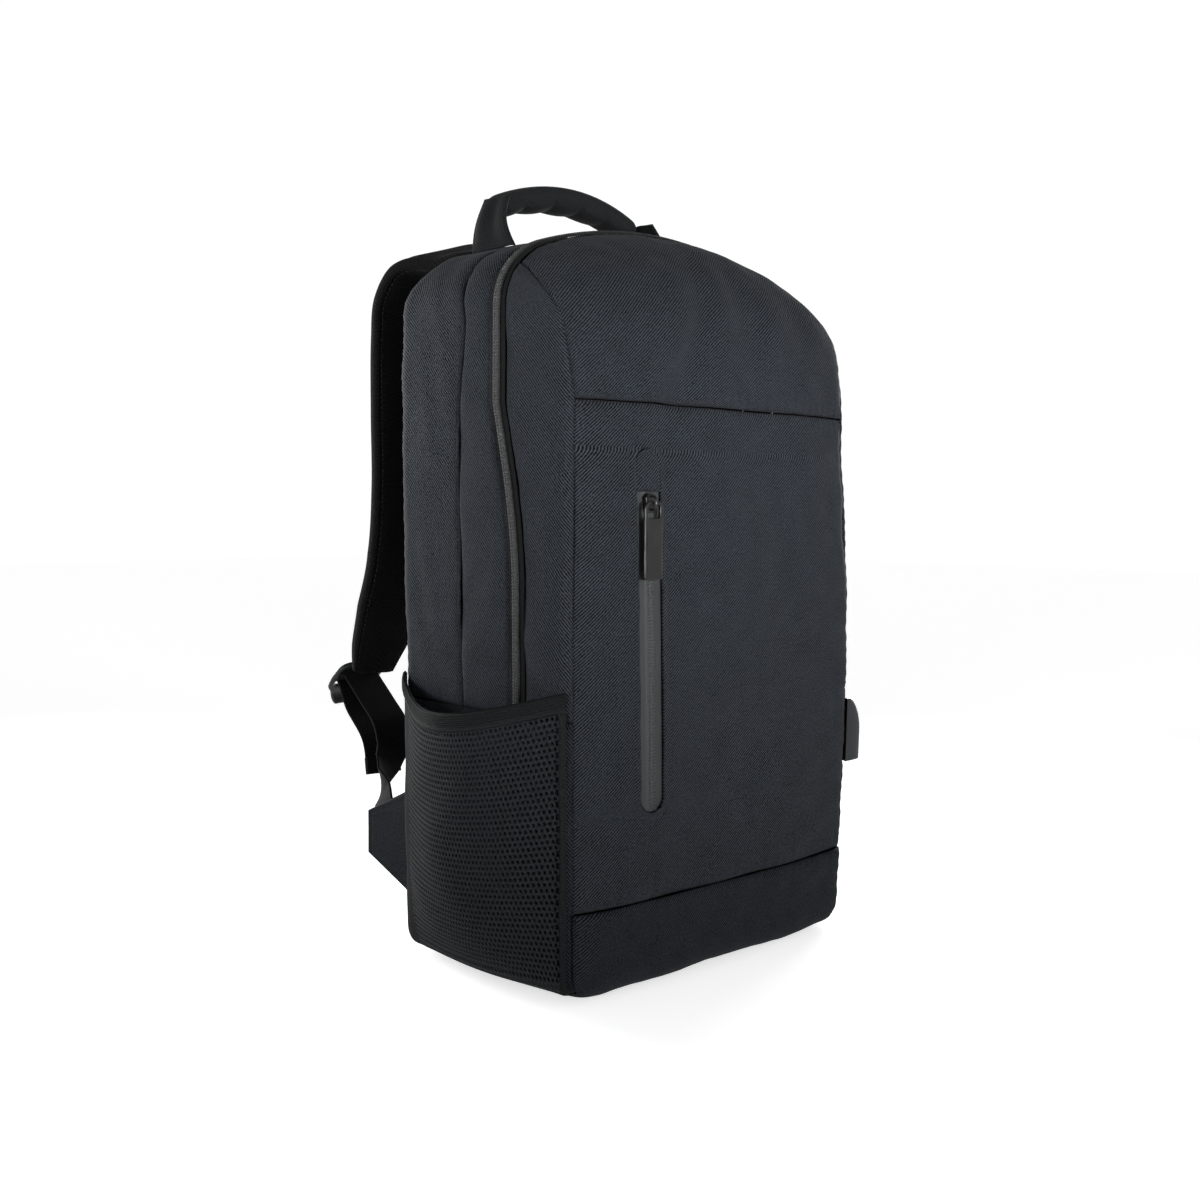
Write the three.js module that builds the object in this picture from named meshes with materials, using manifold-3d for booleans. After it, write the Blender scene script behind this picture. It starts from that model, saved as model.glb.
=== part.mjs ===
// A slim laptop backpack standing on its base, in millimetres.
// +Z is up, the front of the bag faces -Y, the wearer's side faces +Y, and the origin is the
// centre of the flat base. The shell is sewn from separate cloth panels round a hollow
// compartment: every panel is a patch of one common body form, trimmed along its seams.
import * as THREE from "three";
import { mergeVertices } from "three/addons/utils/BufferGeometryUtils.js";
import Module from "manifold-3d";

const wasm = await Module();
wasm.setup();

const degrees = Math.PI / 180;
const V = (x, y, z) => new THREE.Vector3(x, y, z);
const lerp = THREE.MathUtils.lerp;
const clamp = (x, low = 0, high = 1) => Math.min(high, Math.max(low, x));
const ease = (x) => clamp(x) * clamp(x) * (3 - 2 * clamp(x));

// Body
const bodyWidth = 252; // between its sides, before it is filled
const bodyHeight = 453;
const bodyDepth = 163;
const baseRadius = 17; // lower left and right edges
const shoulderRadius = 42; // upper left and right corners
const archAngle = 18 * degrees; // slope of the top where it meets the shoulders
const frontEdgeRadius = 11;
const backEdgeRadius = 18;
const topBackRadius = 30; // top edge towards the wearer
const frontCrown = 6; // the filled front stands proud
const backCrown = 3;
const clothThickness = 2.4; // face cloth, foam and lining together
const backPadThickness = 9;
const seamGap = 0.6;

// How the filled bag sits: its sides swell, flare towards the back and come in at the base, and
// the right side is filled out most at about the height of the lower side panel's seam.
const sideSwell = 2.5;
const rearFlare = 4.5;
const flareLow = 150; // height where the flare starts
const flareHigh = 330;
const baseTaper = 2;
const taperHeight = 230;
const rightFill = 13;
const rightFillHeight = 185;
const rightFillAbove = 105; // how far the fill spreads above its fullest place
const rightFillBelow = 260; // and below it
const fillReach = 0.62; // share of the half width that the fill leaves alone

// Seams and zips
const bandSeamHeight = 53; // lower seam of the front
const yokeSeamHeight = 343; // upper seam of the front
const yokeRoll = 78; // the yoke starts to roll over the top this far below it
const yokeRollEnd = 68 * degrees; // how far it has turned over where it meets the main zip
const yokeCornerDrop = 29; // the yoke's side seams meet the main zip this far below the top
const lowerPanelHeight = 163; // the side cloth below the main zip's ends
const zipFromFront = 62; // the main zip's place in depth over the top
const zipForward = 16; // how far its lower ends run forward, from the yoke seam down
const zipBendLength = 110;
const zipTapeWidth = 12;
const zipTapeThickness = 1.2;
const zipTapeSink = 0.9; // the tape lies below the cloth
const zipCoilWidth = 5.6;
const zipCoilHeight = 1.7;
const rearSeamFromZip = 34; // the seam between the two cloth strips behind the zip
const rearSeamKink = 5;
const rearSeamKinkDrop = 63; // below the top
const rearSeamKinkReach = 26;

// Front pocket zip
const pocketZip = {
  lowX: -66.5,
  highX: -72,
  low: 106,
  high: 317,
  width: 18.5,
  garageLow: 293, // the cloth hood over the slider's parking place
  sink: 1.1,
};

// Side pocket zip, on the right just behind the front edge
const sideZip = { fromFront: 17, low: 173, high: 357, width: 8.4, slot: 9.6 };

// Zip sliders and pulls
const slider = { width: 9, length: 11, height: 3 };
const bail = { width: 2.4, length: 9, bar: 1.3, rise: 3.3 };
const pullBar = 1.8; // the cross bar that the bail holds
const pullAxisOut = slider.height + 0.7 + pullBar / 2; // the bar lies this far off the tape
const frontPull = { width: 15, length: 45, thickness: 1.8, window: 8, rail: 2.6 };
const smallPull = { width: 8, length: 26, thickness: 1.6, window: 7.5, rail: 1.7 };
const frontSliderHeight = 286;
const sideSliderHeight = 242;
const mainSliderHeight = 191;
const restGap = 0.4; // between pieces that touch on the real bag
const sliderSeat = 0.3; // a slider stands this much further off its tape

// Bottle pocket, on the left
const pocketBulge = 25;
const pocketMouth = 179; // height of the mouth at its two side seams
const pocketMouthDip = 17;
const pocketLow = 7;
const pocketFull = 62; // height at which the pocket reaches its full bulge
const pocketThickness = 1.4;
const pocketInset = 3; // its side edges lie this far from the seams
const bindingHeight = 10;
const bindingThickness = 2.2;

// Carry handle
const handleFromBack = 17; // its place in depth
const handleSpan = 127; // between the two ends of the grip
const gripRise = 13;
const gripEndAbove = 21; // over the top of the body, in height
const gripWidth = 26;
const gripDepth = 18;
const legFootLeft = 77; // its two legs stand this far from the middle
const legFootRight = 64;
const legFront = 38; // a leg's foot spreads this far to the front of the grip's middle
const legBack = 5; // and this far to the back
const legTopWidth = 25;
const legTopForward = 8; // its top lies this far in front of the grip's middle
const legThickness = 2.4;
const legBow = 4;

// Shoulder straps
const strapStandOff = 50; // behind the back of the body
const strapHalfWidth = 31;
const strapThickness = 11;
const strapTilt = 18 * degrees; // the outer edge droops over the shoulder
const strapSeatInset = 3.5; // the strap is sewn in this far in front of the back seam
const strapTable = [
  // shares of body height, half width and stand-off, then of the strap's half width, thickness
  // and tilt; the first two rows take their place from the body, where the strap is sewn in
  { up: 0.95, side: 0.45, out: 0, wide: 0.84, thick: 0.3, tilt: 0.55 },
  { up: 0.967, side: 0.452, out: 0.15, wide: 0.86, thick: 0.5, tilt: 0.6 },
  { up: 0.988, side: 0.46, out: 0.34, wide: 0.92, thick: 0.85, tilt: 0.9 },
  { up: 0.991, side: 0.48, out: 0.68, wide: 0.97, thick: 1, tilt: 1 },
  { up: 0.972, side: 0.51, out: 1, wide: 1, thick: 1, tilt: 0.8 },
  { up: 0.928, side: 0.535, out: 1.2, wide: 1, thick: 1, tilt: 0.4 },
  { up: 0.868, side: 0.555, out: 1.2, wide: 1, thick: 1, tilt: 0 },
  { up: 0.757, side: 0.585, out: 1.1, wide: 1, thick: 1, tilt: 0 },
  { up: 0.646, side: 0.61, out: 1, wide: 1, thick: 1, tilt: 0 },
  { up: 0.546, side: 0.64, out: 1.02, wide: 0.98, thick: 1, tilt: 0 },
  { up: 0.468, side: 0.685, out: 1.2, wide: 0.87, thick: 1, tilt: 0 },
  { up: 0.413, side: 0.71, out: 1.38, wide: 0.7, thick: 0.9, tilt: 0 },
  { up: 0.372, side: 0.72, out: 1.5, wide: 0.52, thick: 0.55, tilt: 0 },
];

// Strap adjuster: a moulded ladder of three bars with a thumb tongue
const adjuster = {
  width: 40,
  thickness: 4,
  bar: 7,
  slot: 6,
  rail: 4,
  tongueLength: 12,
  tongueWidth: 24,
  tongueThickness: 3,
  slope: 42 * degrees,
  tongueSlope: 82 * degrees,
  lift: 9, // its top edge lies this far above the strap's end
};

// Webbing: sewn to the tab, up through the adjuster, over its middle bar and down as a tail
const webWidth = 28;
const webThickness = 1.6;
const webTable = [
  // shares of body height and strap stand-off and of the half width; turn is 1 where the
  // webbing lies flat on the tab and 0 where it faces the wearer
  { up: 0.148, out: 0.46, side: 0.91, turn: 1 },
  { up: 0.176, out: 0.58, side: 0.91, turn: 1 },
  { up: 0.202, out: 0.76, side: 0.865, turn: 0.88 },
  { up: 0.223, out: 0.92, side: 0.82, turn: 0.5 },
  { up: 0.244, out: 0.97, side: 0.77, turn: 0.2 },
  { up: 0.273, out: 1, side: 0.725, turn: 0 },
  { up: 0.301, out: 1.12, side: 0.715, turn: 0 },
  { up: 0.331, out: 1.42, side: 0.715, turn: 0 },
];
const tailTable = [
  { up: 0.318, out: 1.76, side: 0.715, turn: 0 },
  { up: 0.272, out: 1.36, side: 0.715, turn: 0 },
  { up: 0.222, out: 1.24, side: 0.72, turn: 0 },
];

// Strap tab: a doubled cloth triangle sewn into the lower back edge
const tab = { side: 118, thickness: 3, top: 102, apexOut: 41, apexHeight: 68, low: 35, corner: 14 };

// USB socket housing, on the right
const usb = {
  width: 20,
  proud: 19,
  low: 111,
  high: 154,
  fromFront: 14,
  lip: 3, // its thickness at the top edge
  socketWidth: 13,
  socketHeight: 5.6,
  socketDepth: 13,
};

const halfWidth = bodyWidth / 2;
const frontY = -bodyDepth / 2;
const backY = bodyDepth / 2;
const frontInset = frontEdgeRadius * (1 - Math.SQRT1_2); // a seam lies halfway round its edge
const backInset = backEdgeRadius * (1 - Math.SQRT1_2);
const frontSeamY = frontY + frontInset;
const backSeamY = backY - backInset;
const yokeCornerHeight = bodyHeight - yokeCornerDrop;
const zipLineTop = frontY + zipFromFront;
const rearSeamLine = zipLineTop + rearSeamFromZip;
const sideZipLine = frontY + sideZip.fromFront;
const usbLine = frontY + usb.fromFront;
const handleLine = backY - handleFromBack;

const cloth = new THREE.MeshStandardMaterial({ color: 0x25282b, roughness: 0.9 });
const darkCloth = new THREE.MeshStandardMaterial({ color: 0x141519, roughness: 0.95 });
const webbing = new THREE.MeshStandardMaterial({ color: 0x1c1c1c, roughness: 0.85 });
const netting = new THREE.MeshStandardMaterial({ color: 0x17181a, roughness: 0.9 });
const coated = new THREE.MeshStandardMaterial({ color: 0x484c4d, roughness: 0.6 });
const coil = new THREE.MeshStandardMaterial({ color: 0x2c2d2c, roughness: 0.5 });
const blackMetal = new THREE.MeshStandardMaterial({ color: 0x1a1a1b, roughness: 0.3, metalness: 0.8 });
const moulded = new THREE.MeshStandardMaterial({ color: 0x32363a, roughness: 0.5 });

const backpack = new THREE.Group();

function addPiece(name, geometry, material) {
  const mesh = new THREE.Mesh(geometry, material);
  mesh.name = name;
  backpack.add(mesh);
  return mesh;
}

// The body's outline seen from the front: base corner, side, shoulder and half the arched top,
// mirrored. A place on it is a share from 0, lower left, over the top to 1, lower right.
const archHalfSpan = halfWidth - shoulderRadius * (1 - Math.sin(archAngle));
const archRadius = archHalfSpan / Math.sin(archAngle);
const shoulderHeight =
  bodyHeight - archRadius * (1 - Math.cos(archAngle)) - shoulderRadius * Math.cos(archAngle);
const baseRun = (baseRadius * Math.PI) / 2;
const sideRun = shoulderHeight - baseRadius;
const shoulderRun = shoulderRadius * (Math.PI / 2 - archAngle);
const outlineLength = 2 * (baseRun + sideRun + shoulderRun + archRadius * archAngle);

function outline(share) {
  const left = share <= 0.5;
  let run = (left ? share : 1 - share) * outlineLength;
  let place;
  if (run < baseRun) {
    const turn = run / baseRadius;
    place = [
      -halfWidth + baseRadius * (1 - Math.sin(turn)),
      baseRadius * (1 - Math.cos(turn)),
      -Math.sin(turn),
      -Math.cos(turn),
    ];
  } else if ((run -= baseRun) < sideRun) {
    place = [-halfWidth, baseRadius + run, -1, 0];
  } else if ((run -= sideRun) < shoulderRun) {
    const turn = run / shoulderRadius;
    place = [
      -halfWidth + shoulderRadius * (1 - Math.cos(turn)),
      shoulderHeight + shoulderRadius * Math.sin(turn),
      -Math.cos(turn),
      Math.sin(turn),
    ];
  } else {
    const turn = archAngle - (run - shoulderRun) / archRadius;
    place = [
      -archRadius * Math.sin(turn),
      bodyHeight - archRadius * (1 - Math.cos(turn)),
      -Math.sin(turn),
      Math.cos(turn),
    ];
  }
  const [x, z, nx, nz] = place;
  return left ? { x, z, nx, nz } : { x: -x, z, nx: -nx, nz };
}

// The outline share on the left side at a height, up to the shoulder's end.
function shareAtHeight(z) {
  let run;
  if (z < baseRadius) {
    run = baseRadius * Math.acos(1 - z / baseRadius);
  } else if (z < shoulderHeight) {
    run = baseRun + z - baseRadius;
  } else {
    run = baseRun + sideRun + shoulderRadius * Math.asin((z - shoulderHeight) / shoulderRadius);
  }
  return run / outlineLength;
}

const shoulderStart = shareAtHeight(shoulderHeight);
const shoulderEnd = (baseRun + sideRun + shoulderRun) / outlineLength;
const topness = (share) =>
  ease((Math.min(share, 1 - share) - shoulderStart) / (shoulderEnd - shoulderStart));

// How far a rounded edge lies inside the flat, at a distance from the face it turns into.
function edgeDrop(distance, radius) {
  const left = clamp((radius - distance) / radius);
  return radius * (1 - Math.sqrt(1 - left * left));
}

// The body form round the sides and top: a point at an outline share and a depth.
function envelope(share, y) {
  const o = outline(share);
  const top = topness(share);
  const fromBase = (Math.min(share, 1 - share) * outlineLength) / (bodyHeight * 0.3);
  const swell =
    sideSwell * Math.sin(Math.PI * clamp((y - frontY) / bodyDepth)) * ease(fromBase) * (1 - 0.7 * top);
  const proud =
    swell -
    edgeDrop(y - frontY, frontEdgeRadius) -
    edgeDrop(backY - y, lerp(backEdgeRadius, topBackRadius, top));
  return V(o.x + o.nx * proud, y, o.z + o.nz * proud);
}

function envelopeNormal(share, y) {
  const step = 1e-3;
  const depthStep = bodyDepth * step;
  const along = envelope(share + step, y).sub(envelope(share - step, y));
  const across = envelope(share, y + depthStep).sub(envelope(share, y - depthStep));
  return along.cross(across).normalize();
}

// Moves a point as the filled bag moves: only sideways, and more towards its sides.
function filled(p) {
  const reach = ease((Math.abs(p.x) / halfWidth - fillReach) / (1 - fillReach));
  const depth = clamp((p.y - frontY) / bodyDepth);
  const flare = rearFlare * depth * ease((p.z - flareLow) / (flareHigh - flareLow));
  const overTop = ease((bodyHeight - p.z) / shoulderRadius);
  const taper = baseTaper * (1 - clamp(p.z / taperHeight));
  const spread = p.z > rightFillHeight ? rightFillAbove : rightFillBelow;
  const away = (p.z - rightFillHeight) / spread;
  const fill = p.x > 0 ? rightFill * Math.exp(-away * away) : 0;
  p.x += Math.sign(p.x) * reach * (flare * overTop - taper + fill);
  return p;
}

// One direction into the bag for every point, so that neighbouring panels get walls that agree
// along their seam. It is the slope of a box-like superellipsoid.
function inward(p) {
  const power = 7;
  const slope = (value, half) => -Math.sign(value) * Math.pow(Math.abs(value) / half, power) / half;
  return V(
    slope(p.x, halfWidth + sideSwell),
    slope(p.y, bodyDepth / 2 + frontCrown / 2),
    slope(p.z - bodyHeight / 2, bodyHeight / 2),
  ).normalize();
}

// A closed wall between two grids of points of the same size.
function wallBetween(outer, inner) {
  const rows = outer.length;
  const columns = outer[0].length;
  const vertices = [...outer.flat(), ...inner.flat()];
  const at = (side, j, i) => side * rows * columns + j * columns + i;
  const faces = [];
  const quad = (a, b, c, d) => faces.push(a, b, c, a, c, d);
  for (let j = 0; j < rows - 1; j++) {
    for (let i = 0; i < columns - 1; i++) {
      quad(at(0, j, i), at(0, j, i + 1), at(0, j + 1, i + 1), at(0, j + 1, i));
      quad(at(1, j, i), at(1, j + 1, i), at(1, j + 1, i + 1), at(1, j, i + 1));
    }
  }
  for (let i = 0; i < columns - 1; i++) {
    quad(at(0, 0, i), at(1, 0, i), at(1, 0, i + 1), at(0, 0, i + 1));
    quad(at(0, rows - 1, i), at(0, rows - 1, i + 1), at(1, rows - 1, i + 1), at(1, rows - 1, i));
  }
  for (let j = 0; j < rows - 1; j++) {
    quad(at(0, j, 0), at(0, j + 1, 0), at(1, j + 1, 0), at(1, j, 0));
    const i = columns - 1;
    quad(at(0, j, i), at(1, j, i), at(1, j + 1, i), at(0, j + 1, i));
  }
  return facingOut(vertices, faces);
}

function facingOut(vertices, faces) {
  let volume = 0;
  for (let k = 0; k < faces.length; k += 3) {
    const [a, b, c] = [vertices[faces[k]], vertices[faces[k + 1]], vertices[faces[k + 2]]];
    volume += a.dot(b.clone().cross(c));
  }
  if (volume < 0) faces.reverse();
  const geometry = new THREE.BufferGeometry().setFromPoints(vertices);
  geometry.setIndex(faces);
  geometry.computeVertexNormals();
  return geometry;
}

// A cloth panel: pointAt(u, v) for u and v from 0 to 1, with its wall on the inside.
function panel(pointAt, columns, rows, thickness = clothThickness, sink = 0) {
  const grid = (depth) =>
    Array.from({ length: rows + 1 }, (_, j) =>
      Array.from({ length: columns + 1 }, (_, i) => {
        const p = pointAt(i / columns, j / rows);
        return filled(p.addScaledVector(inward(p), depth));
      }),
    );
  return wallBetween(grid(sink), grid(sink + thickness));
}

// The same panel on the right side, where the bag is filled out differently
const onRight = (pointAt, ...rest) => panel((u, v) => pointAt(u, v).multiply(V(-1, 1, 1)), ...rest);

// A strip that follows a path: each station has a centre, half width, half thickness and the
// directions across and out. The section is a flat oval or a plain rectangle.
function sweep(stations, sides, squareness) {
  const rings = stations.map((s) =>
    Array.from({ length: sides }, (_, k) => {
      const turn = (2 * Math.PI * (k + 0.5)) / sides;
      const shape = (c) => Math.sign(c) * Math.pow(Math.abs(c), squareness);
      return s.centre
        .clone()
        .addScaledVector(s.across, s.halfWidth * shape(Math.cos(turn)))
        .addScaledVector(s.out, s.halfThickness * shape(Math.sin(turn)));
    }),
  );
  return closeRings(rings);
}

function closeRings(rings) {
  const sides = rings[0].length;
  const vertices = rings.flat();
  const faces = [];
  for (let j = 0; j < rings.length - 1; j++) {
    for (let k = 0; k < sides; k++) {
      const a = j * sides + k;
      const b = j * sides + ((k + 1) % sides);
      faces.push(a, b, b + sides, a, b + sides, a + sides);
    }
  }
  const last = (rings.length - 1) * sides;
  for (let k = 1; k < sides - 1; k++) {
    faces.push(0, k + 1, k, last, last + k, last + k + 1);
  }
  return facingOut(vertices, faces);
}

// Stations along a smooth curve through the points, with across kept square to the path.
function stationsAlong(points, acrossAt, sizeAt, count) {
  const curve = new THREE.CatmullRomCurve3(points, false, "centripetal");
  return Array.from({ length: count + 1 }, (_, k) => {
    const share = k / count;
    const centre = curve.getPoint(share);
    const along = curve.getTangent(share);
    const out = along.clone().cross(acrossAt(share)).normalize();
    const across = out.clone().cross(along).normalize();
    return { centre, across, out, ...sizeAt(share) };
  });
}

// Reads a column of a table at a share of its length, in straight steps.
function column(table, name, share) {
  const place = clamp(share) * (table.length - 1);
  const k = Math.min(Math.floor(place), table.length - 2);
  return lerp(table[k][name], table[k + 1][name], place - k);
}

function toSolid(geometry) {
  const bare = new THREE.BufferGeometry();
  const loose = geometry.index ? geometry.toNonIndexed() : geometry;
  bare.setAttribute("position", loose.getAttribute("position"));
  const merged = mergeVertices(bare, 1e-4);
  return new wasm.Manifold(
    new wasm.Mesh({
      numProp: 3,
      vertProperties: merged.attributes.position.array,
      triVerts: new Uint32Array(merged.index.array),
    }),
  );
}

function fromSolid(solid) {
  const mesh = solid.getMesh();
  const geometry = new THREE.BufferGeometry();
  geometry.setAttribute("position", new THREE.BufferAttribute(mesh.vertProperties, 3));
  geometry.setIndex(new THREE.BufferAttribute(mesh.triVerts, 1));
  geometry.computeVertexNormals();
  return geometry;
}

const cut = (geometry, ...tools) =>
  fromSolid(tools.reduce((solid, tool) => solid.subtract(toSolid(tool)), toSolid(geometry)));
const join = (...geometries) => fromSolid(geometries.map(toSolid).reduce((a, b) => a.add(b)));

function mirrored(geometry) {
  const copy = geometry.index ? geometry.toNonIndexed() : geometry.clone();
  const position = copy.getAttribute("position");
  for (let k = 0; k < position.count; k += 3) {
    const corners = [0, 2, 1].map((c) => V().fromBufferAttribute(position, k + c));
    corners.forEach((p, c) => position.setXYZ(k + c, -p.x, p.y, p.z));
  }
  copy.computeVertexNormals();
  return copy;
}

// Seam and zip lines, each a depth at an outline share
const heightAt = (share) => outline(share).z;
const onSide = (share) => 1 - topness(share);

function mainZipLine(share) {
  const below = clamp((yokeSeamHeight - heightAt(share)) / zipBendLength);
  return zipLineTop - zipForward * Math.sin((below * Math.PI) / 2);
}

function rearSeam(share) {
  const away = (heightAt(share) - bodyHeight + rearSeamKinkDrop) / rearSeamKinkReach;
  return rearSeamLine - rearSeamKink * Math.exp(-away * away) * onSide(share);
}

// The front seam climbs the front edge, then curves back over the shoulder to the zip.
const yokeSeamTable = [
  { rise: 0, back: 0 },
  { rise: 0.26, back: 0.05 },
  { rise: 0.45, back: 0.11 },
  { rise: 0.6, back: 0.2 },
  { rise: 0.73, back: 0.36 },
  { rise: 0.83, back: 0.56 },
  { rise: 0.93, back: 0.78 },
  { rise: 1, back: 1 },
];

function frontSeam(share) {
  const rise = clamp((heightAt(share) - yokeSeamHeight) / (yokeCornerHeight - yokeSeamHeight));
  const k = Math.max(1, yokeSeamTable.findIndex((row) => row.rise >= rise));
  const [from, to] = [yokeSeamTable[k - 1], yokeSeamTable[k]];
  const back = lerp(from.back, to.back, (rise - from.rise) / (to.rise - from.rise));
  return lerp(frontSeamY, mainZipLine(share) - zipTapeWidth / 2, back);
}

const gapShare = seamGap / 2 / outlineLength;
const baseSeamShare = (baseRun * 0.45) / outlineLength; // the base's side seams lie under the curve
const lowerShare = shareAtHeight(lowerPanelHeight);
const cornerShare = shareAtHeight(yokeCornerHeight);

// The stations round the bag that its strips, the yoke and the back panel share
const steps = { lower: 5, yoke: 2, lowShoulder: 3, highShoulder: 3, top: 10 };
const yokeShare = shareAtHeight(yokeSeamHeight);
const leftStations = [
  ...between(lowerShare, yokeShare, steps.lower),
  ...between(yokeShare, shoulderStart, steps.yoke),
  ...between(shoulderStart, cornerShare, steps.lowShoulder),
  ...between(cornerShare, shoulderEnd, steps.highShoulder),
  ...between(shoulderEnd, 0.5, steps.top / 2),
];
const stations = [...leftStations, 0.5, ...leftStations.map((share) => 1 - share).reverse()];
const stationsFrom = (first) => stations.filter((s) => s > first - 1e-9 && s < 1 - first + 1e-9);

function between(from, to, count) {
  return Array.from({ length: count }, (_, k) => lerp(from, to, k / count));
}

// A row of cloth from the left seam to the right: side is its left end and middle its centre.
function row(side, middle, x, flat = 0) {
  const edge = Math.abs(x);
  const intoEdge = 0.35 * edge ** 2 + 0.65 * edge ** 8;
  const reach = 1 - seamGap / 2 / Math.abs(side.x);
  const rise = flat ? clamp((edge - flat) / (1 - flat)) ** 2 : edge ** 2.6;
  return V(-x * side.x * reach, lerp(middle.y, side.y, intoEdge), lerp(middle.z, side.z, rise));
}

const crownAt = (z) => frontCrown * (0.72 + 0.28 * Math.sin((Math.PI * z) / yokeSeamHeight));

// Soft folds and dents of the filled front: their place as shares of the half width and the
// body's height, their depth in millimetres (outwards is positive), the share of the body's
// height that they run and spread, and the turn of their run from the vertical.
const foldTable = [
  { x: -0.42, up: 0.84, depth: 2.6, run: 0.13, spread: 0.028, turn: 30 },
  { x: -0.22, up: 0.86, depth: -2.4, run: 0.12, spread: 0.026, turn: 24 },
  { x: -0.05, up: 0.88, depth: 2.2, run: 0.11, spread: 0.026, turn: 12 },
  { x: 0.16, up: 0.87, depth: -1.8, run: 0.12, spread: 0.028, turn: -8 },
  { x: 0.4, up: 0.86, depth: 2.0, run: 0.12, spread: 0.03, turn: -24 },
  { x: -0.75, up: 0.68, depth: -2.2, run: 0.07, spread: 0.05, turn: 70 },
  { x: -0.2, up: 0.16, depth: -2.6, run: 0.06, spread: 0.045, turn: 80 },
  { x: 0.5, up: 0.3, depth: 2.0, run: 0.16, spread: 0.07, turn: 15 },
  { x: 0.35, up: 0.58, depth: -1.6, run: 0.18, spread: 0.06, turn: -20 },
];

function foldAt(x, z) {
  const fade = ease((1 - Math.abs(x) / halfWidth) / 0.14);
  let sum = 0;
  for (const fold of foldTable) {
    const [dx, dz] = [x - fold.x * halfWidth, z - fold.up * bodyHeight];
    const turn = fold.turn * degrees;
    const along = (dx * Math.sin(turn) + dz * Math.cos(turn)) / (fold.run * bodyHeight);
    const across = (dx * Math.cos(turn) - dz * Math.sin(turn)) / (fold.spread * bodyHeight);
    sum += fold.depth * Math.exp(-along * along - across * across);
  }
  return sum * fade;
}

const folded = (p) => p.add(V(0, -foldAt(p.x, p.z) * clamp((backY - p.y) / bodyDepth), 0));

function frontPoint(x, z) {
  return folded(row(envelope(shareAtHeight(z), frontSeamY), V(0, frontY - crownAt(z), z), x));
}

// A cloth field whose last row has to lie on the body form over the top: the difference there is
// worked into the rows before it.
function rollOver(rowAt, rimDepth, v, from, x, share) {
  const p = rowAt(v, x);
  const rim = envelope(share, rimDepth);
  const missing = rim.sub(rowAt(1, x));
  return p.addScaledVector(missing, ease((v - from) / (1 - from)) ** 2);
}

const yokeShareAt = (v) =>
  shareAtHeight(lerp(yokeSeamHeight, yokeCornerHeight, column(yokeSeamTable, "rise", v)));
const zipFrontTop = zipLineTop - zipTapeWidth / 2 - seamGap / 2;

function yokeRow(v, x) {
  const share = yokeShareAt(v);
  const side = envelope(share, lerp(frontSeamY, zipFrontTop, column(yokeSeamTable, "back", v)));
  const straight = 2 / (yokeSeamTable.length - 1);
  const rollStart = bodyHeight - yokeRoll;
  const start = frontY - crownAt(yokeSeamHeight);
  const turn = clamp((v - straight) / (1 - straight)) * yokeRollEnd;
  const top = envelope(0.5, zipFrontTop).z;
  const middle = V(
    0,
    lerp(start, zipFrontTop, (1 - Math.cos(turn)) / (1 - Math.cos(yokeRollEnd))),
    v < straight
      ? lerp(yokeSeamHeight, rollStart, v / straight)
      : lerp(rollStart, top, Math.sin(turn) / Math.sin(yokeRollEnd)),
  );
  return row(side, middle, x);
}

// The base panel: it rolls up from under the back, runs flat, rolls up the front and ends as the
// band under the front panel.
const flatBase = 0.72; // share of its half width that is flat
const baseRoll = 18; // radius of its lower front edge
const baseSeamY = [backSeamY - seamGap / 2, backY - backEdgeRadius];
const baseRows = { back: 2, flat: 3, front: 4, band: 3 };

function basePoint(x, v) {
  const rows = baseRows.back + baseRows.flat + baseRows.front + baseRows.band;
  const rolledBack = baseRows.back / rows;
  const flatEnd = rolledBack + baseRows.flat / rows;
  const rolledFront = flatEnd + baseRows.front / rows;
  const frontRoll = frontY - crownAt(0) + baseRoll;
  const sideFront = frontSeamY + frontInset;
  if (v <= rolledBack) {
    const turn = Math.PI / 4 * (1 - v / rolledBack);
    const y = baseSeamY[1] + (backEdgeRadius - seamGap / 2) * Math.sin(turn);
    const side = envelope(baseSeamShare, lerp(baseSeamY[0], baseSeamY[1], v / rolledBack));
    return row(side, V(0, y, backEdgeRadius * (1 - Math.cos(turn))), x, flatBase);
  }
  if (v <= flatEnd) {
    const share = (v - rolledBack) / (flatEnd - rolledBack);
    const side = envelope(baseSeamShare, lerp(baseSeamY[1], sideFront, share));
    return row(side, V(0, lerp(baseSeamY[1], frontRoll, share), 0), x, flatBase);
  }
  if (v <= rolledFront) {
    const share = (v - flatEnd) / (rolledFront - flatEnd);
    const turn = (share * Math.PI) / 2;
    const side = envelope(baseSeamShare, lerp(sideFront, frontSeamY, share));
    const rise = baseRoll * (1 - Math.cos(turn));
    return row(side, V(0, frontRoll - baseRoll * Math.sin(turn), rise), x, flatBase);
  }
  const share = (v - rolledFront) / (1 - rolledFront);
  const top = bandSeamHeight - seamGap / 2;
  const z = lerp(baseRoll, top, share);
  const side = envelope(lerp(baseSeamShare, shareAtHeight(top), share), frontSeamY);
  return row(side, V(0, frontY - crownAt(z), z), x, flatBase);
}

// The padded back panel, from its low seam to the rim under the rolled top
function backRow(v, x) {
  const seam = backSeamY + seamGap / 2;
  const side = envelope(lerp(baseSeamShare, shoulderStart, v) + gapShare, seam);
  const out = backInset * Math.min(1, 9 * v, 7 * (1 - v)) + backCrown * Math.sin(Math.PI * v);
  return row(side, V(0, seam + out, lerp(backInset, envelope(0.5, seam).z, v)), x);
}

function readSteps(list, share) {
  const place = share * (list.length - 1);
  const k = Math.min(Math.floor(place), list.length - 2);
  return lerp(list[k], list[k + 1], place - k);
}

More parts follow.
